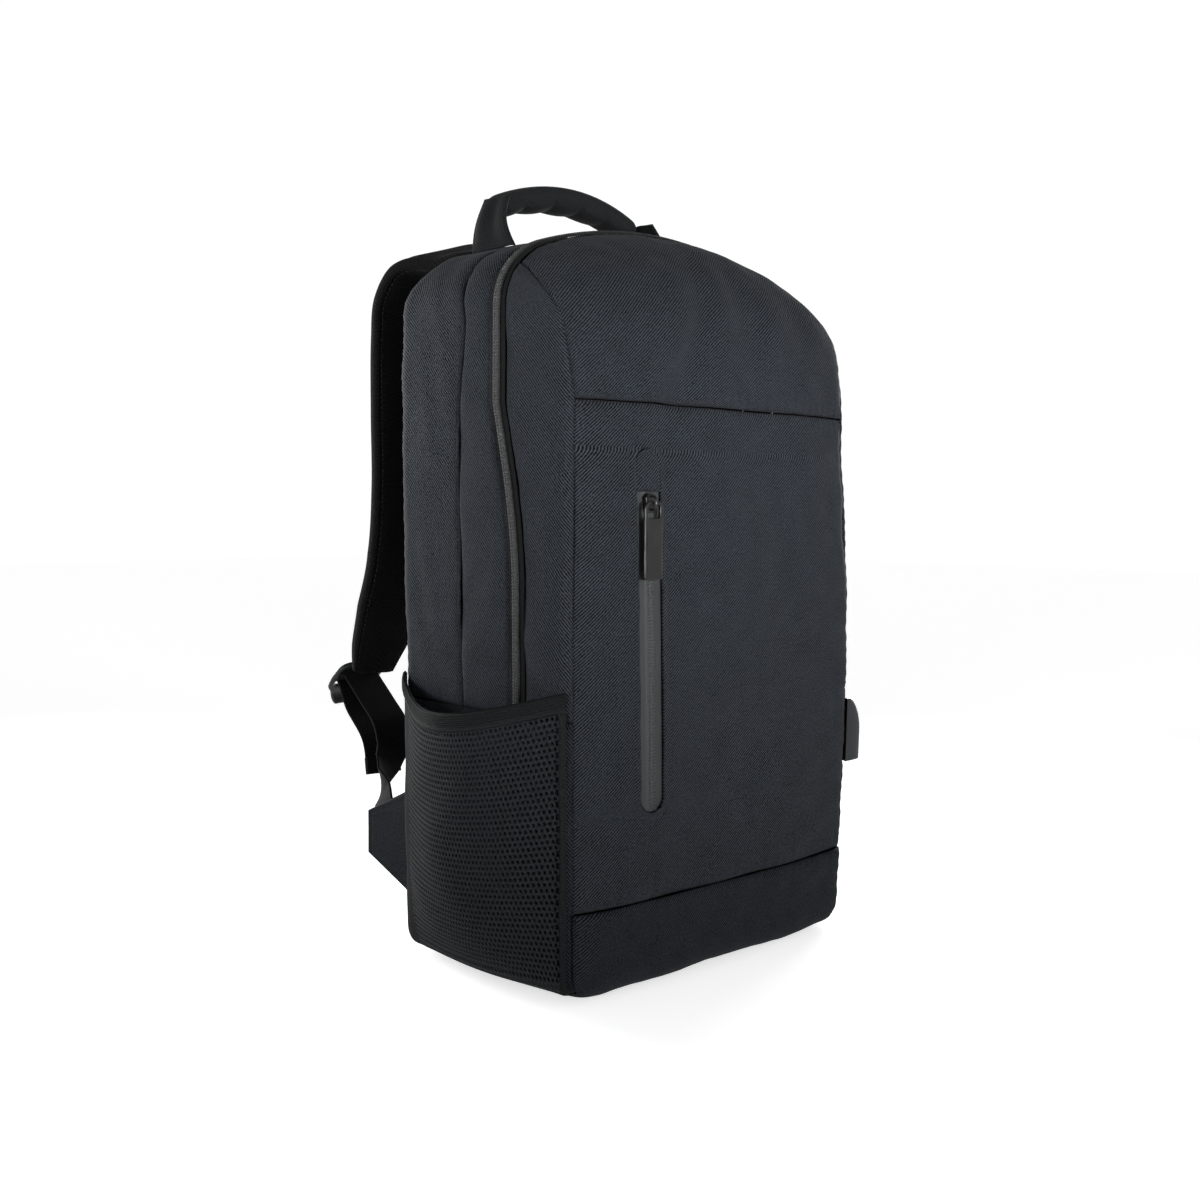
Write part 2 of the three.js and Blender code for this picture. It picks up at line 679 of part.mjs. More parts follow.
// A patch of the body form along stations round the outline, between two lines in depth
function bodyPatch(shares, frontLine, backLine, depths = [0, 1]) {
  return (u, v) => {
    const share = readSteps(shares, u);
    const [front, back] = [frontLine(share) + seamGap / 2, backLine(share) - seamGap / 2];
    return envelope(share, lerp(front, back, readSteps(depths, v)));
  };
}

const zipFrontEdge = (share) => mainZipLine(share) - zipTapeWidth / 2;
const zipBackEdge = (share) => mainZipLine(share) + zipTapeWidth / 2;

const rowShare = (share) => outline(share).x;
const roundedEdge = [0, 0.1, 0.24, 0.55, 1]; // rows lie closer together on a rounded edge

// A panel whose columns meet the stations of the rim above it
function rimmedPanel(pointAt, first, rows, thickness) {
  const rim = stationsFrom(first);
  const half = Math.abs(rowShare(rim[0]));
  return panel(
    (u, v) => {
      const share = rim[Math.round(u * (rim.length - 1))];
      return pointAt(rowShare(share) / half, v, share);
    },
    rim.length - 1,
    rows,
    thickness,
  );
}

function addShell() {
  const across = (u) => 2 * u - 1;
  const frontPanel = panel(
    (u, v) => {
      const height = lerp(bandSeamHeight + seamGap / 2, yokeSeamHeight - seamGap / 2, v);
      return frontPoint(across(u), height);
    },
    16,
    11,
  );
  addPiece("front_panel", cut(frontPanel, pocketZipSlot(pocketZip.width / 2)), cloth);
  const yokePoint = (x, v, share) =>
    folded(rollOver(yokeRow, zipFrontTop, Math.max(v, 0.004), 0.3, x, share));
  addPiece("front_yoke", rimmedPanel(yokePoint, cornerShare, 2 * (yokeSeamTable.length - 1)), cloth);
  const allBaseRows = baseRows.back + baseRows.flat + baseRows.front + baseRows.band;
  addPiece("base_panel", panel((u, v) => basePoint(across(u), v), 14, allBaseRows), cloth);
  const backPoint = (x, v, share) => rollOver(backRow, backSeamY + seamGap / 2, v, 0.75, x, share);
  addPiece("back_panel", rimmedPanel(backPoint, shoulderStart, 9, backPadThickness), darkCloth);

  const bandShare = shareAtHeight(bandSeamHeight);
  const lowShares = [
    ...between(baseSeamShare + gapShare, bandShare, baseRows.band),
    ...between(bandShare, lowerShare - gapShare, 4),
    lowerShare - gapShare,
  ];
  const sideDepths = [
    ...between(frontSeamY, frontSeamY + frontInset, 2),
    ...between(frontSeamY + frontInset, baseSeamY[1], baseRows.flat),
    ...between(baseSeamY[1], backSeamY, baseRows.back),
    backSeamY,
  ].map((y) => (y - frontSeamY) / (backSeamY - frontSeamY));
  const lowerPatch = bodyPatch(lowShares, () => frontSeamY, () => backSeamY, sideDepths);
  const lowerWall = panel(lowerPatch, lowShares.length - 1, sideDepths.length - 1);
  addPiece("lower_side_left", lowerWall, cloth);
  addPiece("lower_side_right", onRight(lowerPatch, lowShares.length - 1, sideDepths.length - 1), cloth);

  const yokeRows = 2 * (yokeSeamTable.length - 1);
  const gussetShares = [
    ...between(lowerShare, yokeShare, steps.lower),
    ...between(0, 1, yokeRows).map((v) => yokeShareAt(v)),
  ];
  gussetShares.push(yokeShareAt(0.985));
  const gussetPatch = bodyPatch(gussetShares, frontSeam, zipFrontEdge, roundedEdge);
  const grid = [gussetShares.length - 1, roundedEdge.length - 1];
  addPiece("front_gusset_left", panel(gussetPatch, ...grid), cloth);
  addPiece("front_gusset_right", cut(onRight(gussetPatch, ...grid), sideZipSlot()), cloth);

  const round = stationsFrom(lowerShare);
  const columns = round.length - 1;
  addPiece("middle_gusset", panel(bodyPatch(round, zipBackEdge, rearSeam), columns, 2), cloth);
  const rearDepths = roundedEdge.map((share) => 1 - share).reverse();
  const rearPatch = bodyPatch(round, rearSeam, () => backSeamY, rearDepths);
  addPiece("rear_gusset", panel(rearPatch, columns, rearDepths.length - 1), cloth);
}

// A place on the filled left or right side
const leftSeat = (share, y) => filled(envelope(share, y));
const rightSeat = (share, y) => filled(envelope(share, y).multiply(V(-1, 1, 1)));

// The main zip: a tape strip round the top, a coil along its middle and a slider at its right end
function addMainZip() {
  const round = stationsFrom(lowerShare);
  const strip = (halfWide) =>
    bodyPatch(
      round,
      (share) => mainZipLine(share) - halfWide,
      (share) => mainZipLine(share) + halfWide,
    );
  const columns = round.length - 1;
  const tape = panel(strip(zipTapeWidth / 2), columns, 1, zipTapeThickness, zipTapeSink);
  addPiece("main_zip_tape", tape, webbing);
  const coilTop = zipTapeSink - restGap - zipCoilHeight;
  addPiece("main_zip_coil", panel(strip(zipCoilWidth / 2), columns, 1, zipCoilHeight, coilTop), coil);
  const share = shareAtHeight(mainSliderHeight);
  const seat = rightSeat(share, mainZipLine(share));
  const spot = V(seat.x - coilTop + restGap, seat.y, seat.z);
  addSlider("main_zip", spot, Math.PI / 2, smallPull);
}

// The front pocket zip: a slot in the front panel with round ends, the coated tape that fills it
// and the cloth hood over its top end
const pocketZipX = (z) =>
  lerp(pocketZip.lowX, pocketZip.highX, (z - pocketZip.low) / (pocketZip.high - pocketZip.low));

function pocketZipSlot(radius) {
  const shape = new THREE.Shape();
  const [low, high] = [pocketZip.low + radius, pocketZip.high - radius];
  shape.absarc(pocketZipX(high), high, radius, 0, Math.PI, false);
  shape.absarc(pocketZipX(low), low, radius, Math.PI, 2 * Math.PI, false);
  const depth = bodyDepth / 2;
  const prism = new THREE.ExtrudeGeometry(shape, { depth, bevelEnabled: false, curveSegments: 8 });
  return prism.rotateX(Math.PI / 2).translate(0, -bodyDepth / 4, 0);
}

// The front surface under the zip, narrowed round its two ends
function pocketZipPatch(low, high, radius, roundLow, roundHigh) {
  return (u, v) => {
    const z = lerp(low, high, v);
    const past = Math.max(roundLow ? low + radius - z : 0, roundHigh ? z - high + radius : 0);
    const half = radius * Math.sqrt(1 - 0.97 * (clamp(past / radius) ** 2));
    const x = pocketZipX(z) + lerp(-half, half, u);
    return frontPoint(-x / envelope(shareAtHeight(z), frontSeamY).x, z);
  };
}

function addPocketZip() {
  const radius = pocketZip.width / 2 - restGap;
  const { low, high, garageLow, sink } = pocketZip;
  const tapePatch = pocketZipPatch(low + restGap, garageLow - restGap, radius, true, false);
  const [across, tapeRows, hoodRows] = [4, 20, 6];
  const tape = panel(tapePatch, across, tapeRows, zipTapeThickness, sink);
  addPiece("pocket_zip_tape", tape, coated);
  const hoodPatch = pocketZipPatch(garageLow, high - restGap, radius, false, true);
  const hood = panel(hoodPatch, across, hoodRows, zipTapeThickness, sliderSeat);
  addPiece("pocket_zip_hood", hood, cloth);
  const x = pocketZipX(frontSliderHeight);
  const share = -x / envelope(shareAtHeight(frontSliderHeight), frontSeamY).x;
  const seat = frontPoint(share, frontSliderHeight);
  const spot = V(x, seat.y + sink - restGap - sliderSeat, frontSliderHeight);
  addSlider("pocket_zip", spot, 0, frontPull);
}

// The side pocket zip, in a slot of the right side's front strip
function sideZipSlot() {
  const tall = sideZip.high - sideZip.low + 2 * restGap;
  const middle = (sideZip.high + sideZip.low) / 2;
  const wide = 8 * frontEdgeRadius;
  return new THREE.BoxGeometry(wide, sideZip.slot, tall).translate(halfWidth, sideZipLine, middle);
}

function addSideZip() {
  const from = shareAtHeight(sideZip.low);
  const to = shareAtHeight(sideZip.high);
  const half = sideZip.width / 2;
  const patch = (u, v) => {
    const p = envelope(lerp(from, to, u), sideZipLine + lerp(-half, half, v));
    return V(-p.x, p.y, p.z);
  };
  addPiece("side_zip_tape", panel(patch, 8, 2, zipTapeThickness, zipTapeSink), coated);
  const seat = rightSeat(shareAtHeight(sideSliderHeight), sideZipLine);
  const spot = V(seat.x - zipTapeSink + restGap + sliderSeat, seat.y, seat.z);
  addSlider("side_zip", spot, Math.PI / 2, smallPull);
}

// A slider with a bail, and a pull that hangs by its top bar inside the bail. Both are drawn with
// the tape behind them and the outside towards -Y, then turned about Z.
function addSlider(name, spot, turn, pull) {
  const block = new THREE.BoxGeometry(slider.width, slider.height, slider.length);
  block.translate(0, -slider.height / 2, 0);
  const postZ = (bail.length - bail.bar) / 2;
  const sunk = 0.4; // the bail's feet reach into the block
  const post = (z) =>
    new THREE.BoxGeometry(bail.width, bail.rise + sunk, bail.bar).translate(
      0,
      -slider.height - (bail.rise - sunk) / 2,
      z,
    );
  const bridge = new THREE.BoxGeometry(bail.width, bail.bar, bail.length);
  bridge.translate(0, -slider.height - bail.rise - bail.bar / 2 + 0.1, 0);
  const group = new THREE.Group();
  group.position.copy(spot);
  group.rotation.z = turn;
  backpack.add(group);
  const body = new THREE.Mesh(join(block, post(postZ), post(-postZ), bridge), blackMetal);
  body.name = name + "_slider";
  group.add(body);

  const top = pullBar / 2;
  const plate = new THREE.BoxGeometry(pull.width, pull.thickness, pull.length);
  plate.translate(0, 0, top - pull.length / 2);
  const inner = pull.width - 2 * pull.rail;
  const opening = new THREE.BoxGeometry(inner, 3 * pull.thickness, pull.window);
  opening.translate(0, 0, -top - pull.window / 2);
  const tag = new THREE.Mesh(cut(plate, opening), blackMetal);
  tag.name = name + "_pull";
  tag.position.y = -pullAxisOut;
  group.add(tag);
}

// The bottle pocket on the left: netting that stands off the side, with a bound mouth
function pocketPoint(u, z, lift) {
  const y = lerp(frontSeamY + pocketInset, backSeamY - pocketInset, u);
  const share = shareAtHeight(z);
  const lean = Math.sin(Math.PI * u ** 0.92);
  const up = Math.sin((Math.PI / 2) * clamp((z - pocketLow) / (pocketFull - pocketLow)));
  const bulge = pocketBulge * lean ** 1.1 * up ** 0.6;
  return filled(envelope(share, y).addScaledVector(envelopeNormal(share, y), lift + bulge));
}

const mouthAt = (u) => pocketMouth - pocketMouthDip * Math.sin(Math.PI * (1 - (1 - u) ** 0.8));

function addBottlePocket() {
  const columns = 16;
  const sheet = (lowAt, highAt, rows, thickness) => {
    const grid = (lift) =>
      Array.from({ length: rows + 1 }, (_, j) =>
        Array.from({ length: columns + 1 }, (_, i) => {
          const u = i / columns;
          return pocketPoint(u, lerp(lowAt(u), highAt(u), (j / rows) ** 1.5), lift);
        }),
      );
    return wallBetween(grid(restGap + thickness), grid(restGap));
  };
  const bindingLow = (u) => mouthAt(u) - bindingHeight;
  const net = sheet(() => pocketLow, (u) => bindingLow(u) - restGap, 10, pocketThickness);
  addPiece("pocket_net", net, netting);
  addPiece("pocket_binding", sheet(bindingLow, mouthAt, 1, bindingThickness), netting);
}

// Carry handle: a padded grip over the top, with a flat leg from each of its ends to the body
const shareOnTop = (x) => 0.5 + (archRadius * Math.asin(x / archRadius)) / outlineLength;

function addHandle() {
  const half = handleSpan / 2;
  const gripAt = (share) => {
    const x = lerp(-half, half, share);
    return V(x, handleLine, bodyHeight + gripEndAbove + gripRise * (1 - (x / half) ** 2));
  };
  const grip = [...between(0, 1, 16), 1].map((share) => {
    const full = 0.8 + 0.2 * Math.sin(Math.PI * share) ** 0.5;
    return {
      centre: gripAt(share),
      across: V(0, 1, 0),
      out: V(0, 0, 1),
      halfWidth: (gripWidth / 2) * full,
      halfThickness: (gripDepth / 2) * full,
    };
  });
  addPiece("handle_grip", sweep(grip, 12, 0.85), darkCloth);

  const [columns, rows] = [8, 5];
  const grid = (footAt, inset) =>
    Array.from({ length: rows + 1 }, (_, j) =>
      Array.from({ length: columns + 1 }, (_, i) => {
        const [u, v] = [i / columns, j / rows];
        const footY = handleLine + lerp(-legFront, legBack, u);
        const foot = envelope(shareOnTop(-footAt + inset), footY);
        foot.addScaledVector(envelopeNormal(shareOnTop(-footAt + inset), footY), 2 * restGap);
        const headY = handleLine - legTopForward + lerp(-legTopWidth / 2, legTopWidth / 2, u);
        const head = V(
          -half - restGap - legThickness + inset,
          headY,
          bodyHeight + gripEndAbove + gripDepth / 4,
        );
        const p = foot.lerp(head, v);
        p.x -= legBow * Math.sin(Math.PI * v);
        return p;
      }),
    );
  const leg = (footAt) => wallBetween(grid(footAt, 0), grid(footAt, legThickness));
  addPiece("handle_leg_left", leg(legFootLeft), webbing);
  addPiece("handle_leg_right", mirrored(leg(legFootRight)), webbing);
}

// A point behind the back, from shares of the body's height, half width and strap stand-off
const behind = (place) =>
  V(-place.side * halfWidth, backY + place.out * strapStandOff, place.up * bodyHeight);

// Where a strap leaves the top, at a distance square to the body
function strapStart(distance) {
  const seat = shareOnTop(-strapTable[0].side * halfWidth);
  const depth = backSeamY - strapSeatInset;
  return envelope(seat, depth).addScaledVector(envelopeNormal(seat, depth), distance);
}

function addStraps() {
  const points = strapTable.map(behind);
  points[0] = strapStart(restGap + 0.3);
  points[1] = strapStart(strapThickness);
  const tiltAt = (share) => strapTilt * column(strapTable, "tilt", share);
  const strap = sweep(
    stationsAlong(
      points,
      (share) => V(Math.cos(tiltAt(share)), 0, Math.sin(tiltAt(share))),
      (share) => ({
        halfWidth: strapHalfWidth * column(strapTable, "wide", share),
        halfThickness: (strapThickness / 2) * column(strapTable, "thick", share),
      }),
      2 * (strapTable.length - 1),
    ),
    12,
    0.45,
  );
  addPiece("shoulder_strap_left", strap, darkCloth);
  addPiece("shoulder_strap_right", mirrored(strap), darkCloth);
}

// The adjuster's own frame: along runs down its plate, out away from the bag
function adjusterFrame() {
  const [above, end] = strapTable.slice(-2);
  const origin = behind(end);
  const sine = Math.sin(adjuster.slope);
  origin.y += (strapThickness / 2) * above.thick + restGap + adjuster.thickness * sine;
  origin.z += adjuster.lift;
  const along = V(0, Math.cos(adjuster.slope), -sine);
  const out = V(0, sine, Math.cos(adjuster.slope));
  return (a, o) => origin.clone().addScaledVector(along, a).addScaledVector(out, o);
}

const bars = {
  firstSlot: adjuster.bar,
  middle: adjuster.bar + adjuster.slot,
  lastSlot: 2 * adjuster.bar + adjuster.slot,
  end: 3 * adjuster.bar + 2 * adjuster.slot,
};

function addAdjusters() {
  const at = adjusterFrame();
  const block = (wide, thick, long, along, slope) => {
    const box = new THREE.BoxGeometry(wide, long, thick).translate(0, long / 2, -thick / 2);
    const spot = at(along, 0);
    return box.rotateX(-slope).translate(spot.x, spot.y, spot.z);
  };
  const { width, thickness, slot, rail, slope, tongueSlope } = adjuster;
  const hole = (along) =>
    new THREE.BoxGeometry(width - 2 * rail, slot, 3 * thickness)
      .translate(0, slot / 2 + along, -thickness / 2)
      .rotateX(-slope)
      .translate(at(0, 0).x, at(0, 0).y, at(0, 0).z);
  const tongue = block(
    adjuster.tongueWidth,
    adjuster.tongueThickness,
    adjuster.tongueLength,
    bars.end - adjuster.bar / 2,
    tongueSlope,
  );
  const plate = block(width, thickness, bars.end, 0, slope);
  const frame = cut(join(plate, tongue), hole(bars.firstSlot), hole(bars.lastSlot));
  addPiece("strap_adjuster_left", frame, moulded);
  addPiece("strap_adjuster_right", mirrored(frame), moulded);
}

function addWebbing() {
  const at = adjusterFrame();
  const clear = restGap + webThickness / 2;
  const [before, after] = [bars.middle - clear, bars.lastSlot + clear];
  const low = -adjuster.thickness - 2;
  const overBar = [
    at(before, low),
    at(before, -adjuster.thickness / 2),
    at(before + 0.2, 0.6),
    at((before + after) / 2, clear + 0.5),
    at(after - 0.2, 0.6),
    at(after, -adjuster.thickness / 2),
    at(after, low),
  ];
  const points = [...webTable.map(behind), ...overBar, ...tailTable.map(behind)];
  const beside = tab.side - tab.thickness / 2 - clear - restGap;
  points[0].x = -beside;
  points[1].x = -beside;
  const last = points.length - 1;
  const flatOnTab = V(0, 0.82, -0.57);
  const turnAt = (share) => {
    const place = (share * last) / (webTable.length - 1);
    return place < 1 ? (column(webTable, "turn", place) * Math.PI) / 2 : 0;
  };
  const web = sweep(
    stationsAlong(
      points,
      (share) => V(Math.cos(turnAt(share)), 0, 0).addScaledVector(flatOnTab, Math.sin(turnAt(share))),
      () => ({ halfWidth: webWidth / 2, halfThickness: webThickness / 2 }),
      2 * last,
    ),
    4,
    0,
  );
  addPiece("strap_webbing_left", web, webbing);
  addPiece("strap_webbing_right", mirrored(web), webbing);
}

// Where the back panel's outer face lies at the tab's place, on the side that seatOf gives
function tabStartY(z, seatOf) {
  const side = seatOf(shareAtHeight(z) + gapShare, backSeamY + seamGap / 2);
  const v = (shareAtHeight(z) - baseSeamShare) / (shoulderStart - baseSeamShare);
  return backRow(v, (tab.side - tab.thickness / 2) / Math.abs(side.x)).y + restGap;
}

// Strap tab: a triangle from the back edge out to a blunt apex
function strapTab(seatOf) {
  const apexY = backY + tab.apexOut;
  const shape = new THREE.Shape();
  shape.moveTo(tabStartY(tab.low, seatOf), tab.low);
  shape.lineTo(apexY, tab.apexHeight - tab.corner);
  shape.lineTo(apexY, tab.apexHeight + tab.corner);
  shape.lineTo(tabStartY(tab.top, seatOf), tab.top);
  const depth = tab.thickness;
  const plate = new THREE.ExtrudeGeometry(shape, { depth, bevelEnabled: false });
  const turned = new THREE.Matrix4().makeBasis(V(0, 1, 0), V(0, 0, 1), V(1, 0, 0));
  return plate.applyMatrix4(turned).translate(-tab.side - tab.thickness / 2, 0, 0);
}

function addTabs() {
  addPiece("strap_tab_left", strapTab(leftSeat), darkCloth);
  addPiece("strap_tab_right", mirrored(strapTab(rightSeat)), darkCloth);
}

// The USB housing: a smooth bump on the right side, cut flat below, where its socket opens
function addUsbHousing() {
  const [columns, rows] = [8, 10];
  const { width, proud, low, high, lip } = usb;
  const grid = (inner) =>
    Array.from({ length: rows + 1 }, (_, j) =>
      Array.from({ length: columns + 1 }, (_, i) => {
        const [u, v] = [i / columns, j / rows];
        const edge = Math.abs(2 * u - 1);
        const round = v < 0.45 ? 1 : Math.cos((((v - 0.45) / 0.55) * Math.PI) / 2);
        const height = lerp(lip, proud, Math.sqrt(round)) * (1 - 0.2 * edge ** 3);
        const y = usbLine + lerp(-width / 2, width / 2, u);
        const share = shareAtHeight(lerp(low, high, v));
        const p = envelope(share, y).addScaledVector(V(-1, 0, 0), inner ? restGap : restGap + height);
        return filled(V(-p.x, p.y, p.z));
      }),
    );
  const wallX = rightSeat(shareAtHeight(low), usbLine).x;
  const socket = new THREE.BoxGeometry(usb.socketHeight, usb.socketWidth, 2 * usb.socketDepth);
  socket.translate(wallX + proud * 0.52, usbLine, low);
  addPiece("usb_housing", cut(wallBetween(grid(false), grid(true)), socket), moulded);
}

addShell();
addMainZip();
addPocketZip();
addSideZip();
addBottlePocket();
addHandle();
addStraps();
addAdjusters();
addWebbing();
addTabs();
addUsbHousing();

export default backpack;
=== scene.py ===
import bmesh
import bpy
import numpy as np
from mathutils import Matrix, Vector


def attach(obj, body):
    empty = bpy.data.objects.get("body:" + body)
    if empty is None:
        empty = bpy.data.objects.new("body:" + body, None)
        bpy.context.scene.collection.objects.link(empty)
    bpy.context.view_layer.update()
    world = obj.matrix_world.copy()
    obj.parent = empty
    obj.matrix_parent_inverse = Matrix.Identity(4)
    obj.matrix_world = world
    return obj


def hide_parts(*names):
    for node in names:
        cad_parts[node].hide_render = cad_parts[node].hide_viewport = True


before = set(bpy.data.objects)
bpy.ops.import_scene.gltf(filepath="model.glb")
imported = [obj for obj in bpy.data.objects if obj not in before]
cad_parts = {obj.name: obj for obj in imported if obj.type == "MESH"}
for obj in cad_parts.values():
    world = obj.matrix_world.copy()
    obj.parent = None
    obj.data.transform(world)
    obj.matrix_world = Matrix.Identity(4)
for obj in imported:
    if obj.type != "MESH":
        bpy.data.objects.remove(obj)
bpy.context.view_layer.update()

mm = 0.001

# The body form
# The bag is sewn from flat cloth panels that lie over one common form: straight sides, an arched
# top, rounded edges. Filled, it swells at the sides and flares towards the wearer.
body_width, body_height, body_depth = 252 * mm, 453 * mm, 163 * mm
base_radius, shoulder_radius = 17 * mm, 42 * mm
arch_angle = np.radians(18)
front_edge_radius, back_edge_radius, top_back_radius = 11 * mm, 18 * mm, 30 * mm
seam_gap = 0.6 * mm
half_width = body_width / 2
front_y, back_y = -body_depth / 2, body_depth / 2
arch_radius = (half_width - shoulder_radius * (1 - np.sin(arch_angle))) / np.sin(arch_angle)
shoulder_height = (
    body_height - arch_radius * (1 - np.cos(arch_angle)) - shoulder_radius * np.cos(arch_angle)
)
base_run = base_radius * np.pi / 2
side_run = shoulder_height - base_radius
shoulder_run = shoulder_radius * (np.pi / 2 - arch_angle)
outline_length = 2 * (base_run + side_run + shoulder_run + arch_radius * arch_angle)


def mix(a, b, share):
    """Straight mix of two values: a plus a share of the way to b."""
    return a + (b - a) * share


def ease(x):
    """Smooth step: 3x^2 - 2x^3, with x held between 0 and 1."""
    x = np.clip(x, 0, 1)
    return x * x * (3 - 2 * x)


def outline(share):
    """Place and outward direction on the outline seen from the front, at a share of its length:
    an arc at the base, a straight side, a shoulder arc and half the arched top, mirrored."""
    run = np.where(share <= 0.5, share, 1 - share) * outline_length
    low = run / base_radius
    high = (run - base_run - side_run) / shoulder_radius
    top = arch_angle - (run - base_run - side_run - shoulder_run) / arch_radius
    parts = [run < base_run, run < base_run + side_run, run < base_run + side_run + shoulder_run]
    x = np.select(
        parts,
        [
            -half_width + base_radius * (1 - np.sin(low)),
            np.full_like(run, -half_width),
            -half_width + shoulder_radius * (1 - np.cos(high)),
        ],
        -arch_radius * np.sin(top),
    )
    z = np.select(
        parts,
        [
            base_radius * (1 - np.cos(low)),
            base_radius + run - base_run,
            shoulder_height + shoulder_radius * np.sin(high),
        ],
        body_height - arch_radius * (1 - np.cos(top)),
    )
    nx = np.select(parts, [-np.sin(low), np.full_like(run, -1), -np.cos(high)], -np.sin(top))
    nz = np.select(parts, [-np.cos(low), np.zeros_like(run), np.sin(high)], np.cos(top))
    side = np.where(share <= 0.5, 1.0, -1.0)
    return x * side, z, nx * side, nz


def share_at_height(z):
    """Share of the outline's length where its left side reaches a height, up to the shoulder."""
    z = np.asarray(z, float)
    low = base_radius * np.arccos(np.clip(1 - z / base_radius, -1, 1))
    high = np.arcsin(np.clip((z - shoulder_height) / shoulder_radius, -1, 1))
    run = np.where(z < base_radius, low, base_run + z - base_radius)
    run = np.where(z < shoulder_height, run, base_run + side_run + shoulder_radius * high)
    return run / outline_length


shoulder_start = float(share_at_height(shoulder_height))
shoulder_end = (base_run + side_run + shoulder_run) / outline_length


def topness(share):
    """0 on the sides and 1 on the arched top, with a smooth step over the shoulders."""
    return ease((np.minimum(share, 1 - share) - shoulder_start) / (shoulder_end - shoulder_start))


def edge_drop(distance, radius):
    """How far a round edge lies inside the flat: radius minus the height of its quarter circle."""
    left = np.clip((radius - distance) / radius, 0, 1)
    return radius * (1 - np.sqrt(1 - left * left))


def envelope(share, y):
    """The body form: the outline at a share, moved outwards by the swell of the sides and inwards
    by the round edges at the front and the back of its depth y."""
    share, y = np.broadcast_arrays(np.asarray(share, float), np.asarray(y, float))
    x, z, nx, nz = outline(share)
    top = topness(share)
    from_base = np.minimum(share, 1 - share) * outline_length / (body_height * 0.3)
    bow = np.sin(np.pi * np.clip((y - front_y) / body_depth, 0, 1))
    proud = 2.5 * mm * bow * ease(from_base) * (1 - 0.7 * top)
    proud = proud - edge_drop(y - front_y, front_edge_radius)
    proud = proud - edge_drop(back_y - y, mix(back_edge_radius, top_back_radius, top))
    return np.stack([x + nx * proud, y, z + nz * proud], -1)


def filled(p):
    """Moves points sideways as the filled bag does: a flare to the back, a taper to the base and a
    bell-shaped fill on the right side, each stronger near the sides."""
    x, y, z = p[..., 0], p[..., 1], p[..., 2]
    reach = ease((np.abs(x) / half_width - 0.62) / 0.38)
    depth = np.clip((y - front_y) / body_depth, 0, 1)
    flare = 4.5 * mm * depth * ease((z - 150 * mm) / (180 * mm))
    over_top = ease((body_height - z) / shoulder_radius)
    taper = 2 * mm * (1 - np.clip(z / (230 * mm), 0, 1))
    spread = np.where(z > 185 * mm, 105 * mm, 260 * mm)
    fill = np.where(x > 0, 13 * mm * np.exp(-(((z - 185 * mm) / spread) ** 2)), 0)
    x = x + np.sign(x) * reach * (flare * over_top - taper + fill)
    return np.stack([x, y, z], -1)


# Front panel
# The big front field, one piece of charcoal twill over thin foam, sewn between the yoke, the base
# band and the two side strips. It is cut open for the pocket zip.
front_inset = front_edge_radius * (1 - np.sqrt(0.5))
back_inset = back_edge_radius * (1 - np.sqrt(0.5))
front_seam_y, back_seam_y = front_y + front_inset, back_y - back_inset
band_seam_height, yoke_seam_height = 53 * mm, 343 * mm
front_crown = 6 * mm
# place across and up as shares, depth in mm, run and spread as shares of the height, turn in degrees
front_folds = [
    (-0.42, 0.84, 2.6, 0.13, 0.028, 30),
    (-0.22, 0.86, -2.4, 0.12, 0.026, 24),
    (-0.05, 0.88, 2.2, 0.11, 0.026, 12),
    (0.16, 0.87, -1.8, 0.12, 0.028, -8),
    (0.4, 0.86, 2.0, 0.12, 0.03, -24),
    (-0.75, 0.68, -2.2, 0.07, 0.05, 70),
    (-0.2, 0.16, -2.6, 0.06, 0.045, 80),
    (0.5, 0.3, 2.0, 0.16, 0.07, 15),
    (0.35, 0.58, -1.6, 0.18, 0.06, -20),
]
twill_pitch = 1.5
cloth_tone = (0.0098, 0.0113, 0.0137)


def crown_at(z):
    """How far the filled front stands proud in its middle: a share of the crown, most at mid height."""
    return front_crown * (0.72 + 0.28 * np.sin(np.pi * z / yoke_seam_height))


def folded(p):
    """Adds the soft folds of the front: a sum of long bell shapes, which fade towards the sides and
    towards the back."""
    x, y, z = p[..., 0], p[..., 1], p[..., 2]
    total = np.zeros_like(x)
    for across, up, depth, run, spread, turn in front_folds:
        dx, dz = x - across * half_width, z - up * body_height
        sine, cosine = np.sin(np.radians(turn)), np.cos(np.radians(turn))
        a = (dx * sine + dz * cosine) / (run * body_height)
        b = (dx * cosine - dz * sine) / (spread * body_height)
        total = total + depth * mm * np.exp(-a * a - b * b)
    fade = ease((1 - np.abs(x) / half_width) / 0.14) * np.clip((back_y - y) / body_depth, 0, 1)
    return np.stack([x, y - total * fade, z], -1)


def row(side, middle_y, middle_z, x, flat=0.0):
    """A row of cloth from seam to seam: x runs from -1 to 1, and depth and height go from the
    middle's to the side's with powers of its distance from the middle."""
    edge = np.abs(x)
    into_edge = 0.35 * edge**2 + 0.65 * edge**8
    reach = 1 - seam_gap / 2 / np.abs(side[..., 0])
    rise = np.clip((edge - flat) / (1 - flat), 0, 1) ** 2 if flat else edge**2.6
    return np.stack(
        [
            -x * side[..., 0] * reach,
            mix(middle_y, side[..., 1], into_edge),
            mix(middle_z, side[..., 2], rise),
        ],
        -1,
    )


def front_point(x, z):
    """A place on the front: a row between the side seams at a height, with its crown and folds."""
    side = envelope(share_at_height(z), front_seam_y)
    return filled(folded(row(side, front_y - crown_at(z), z, x)))


def grid(rows, columns, low=(0, 0), high=(1, 1)):
    """Two arrays of even steps, across and up, over a grid of rows and columns."""
    return np.meshgrid(np.linspace(low[0], high[0], columns), np.linspace(low[1], high[1], rows))


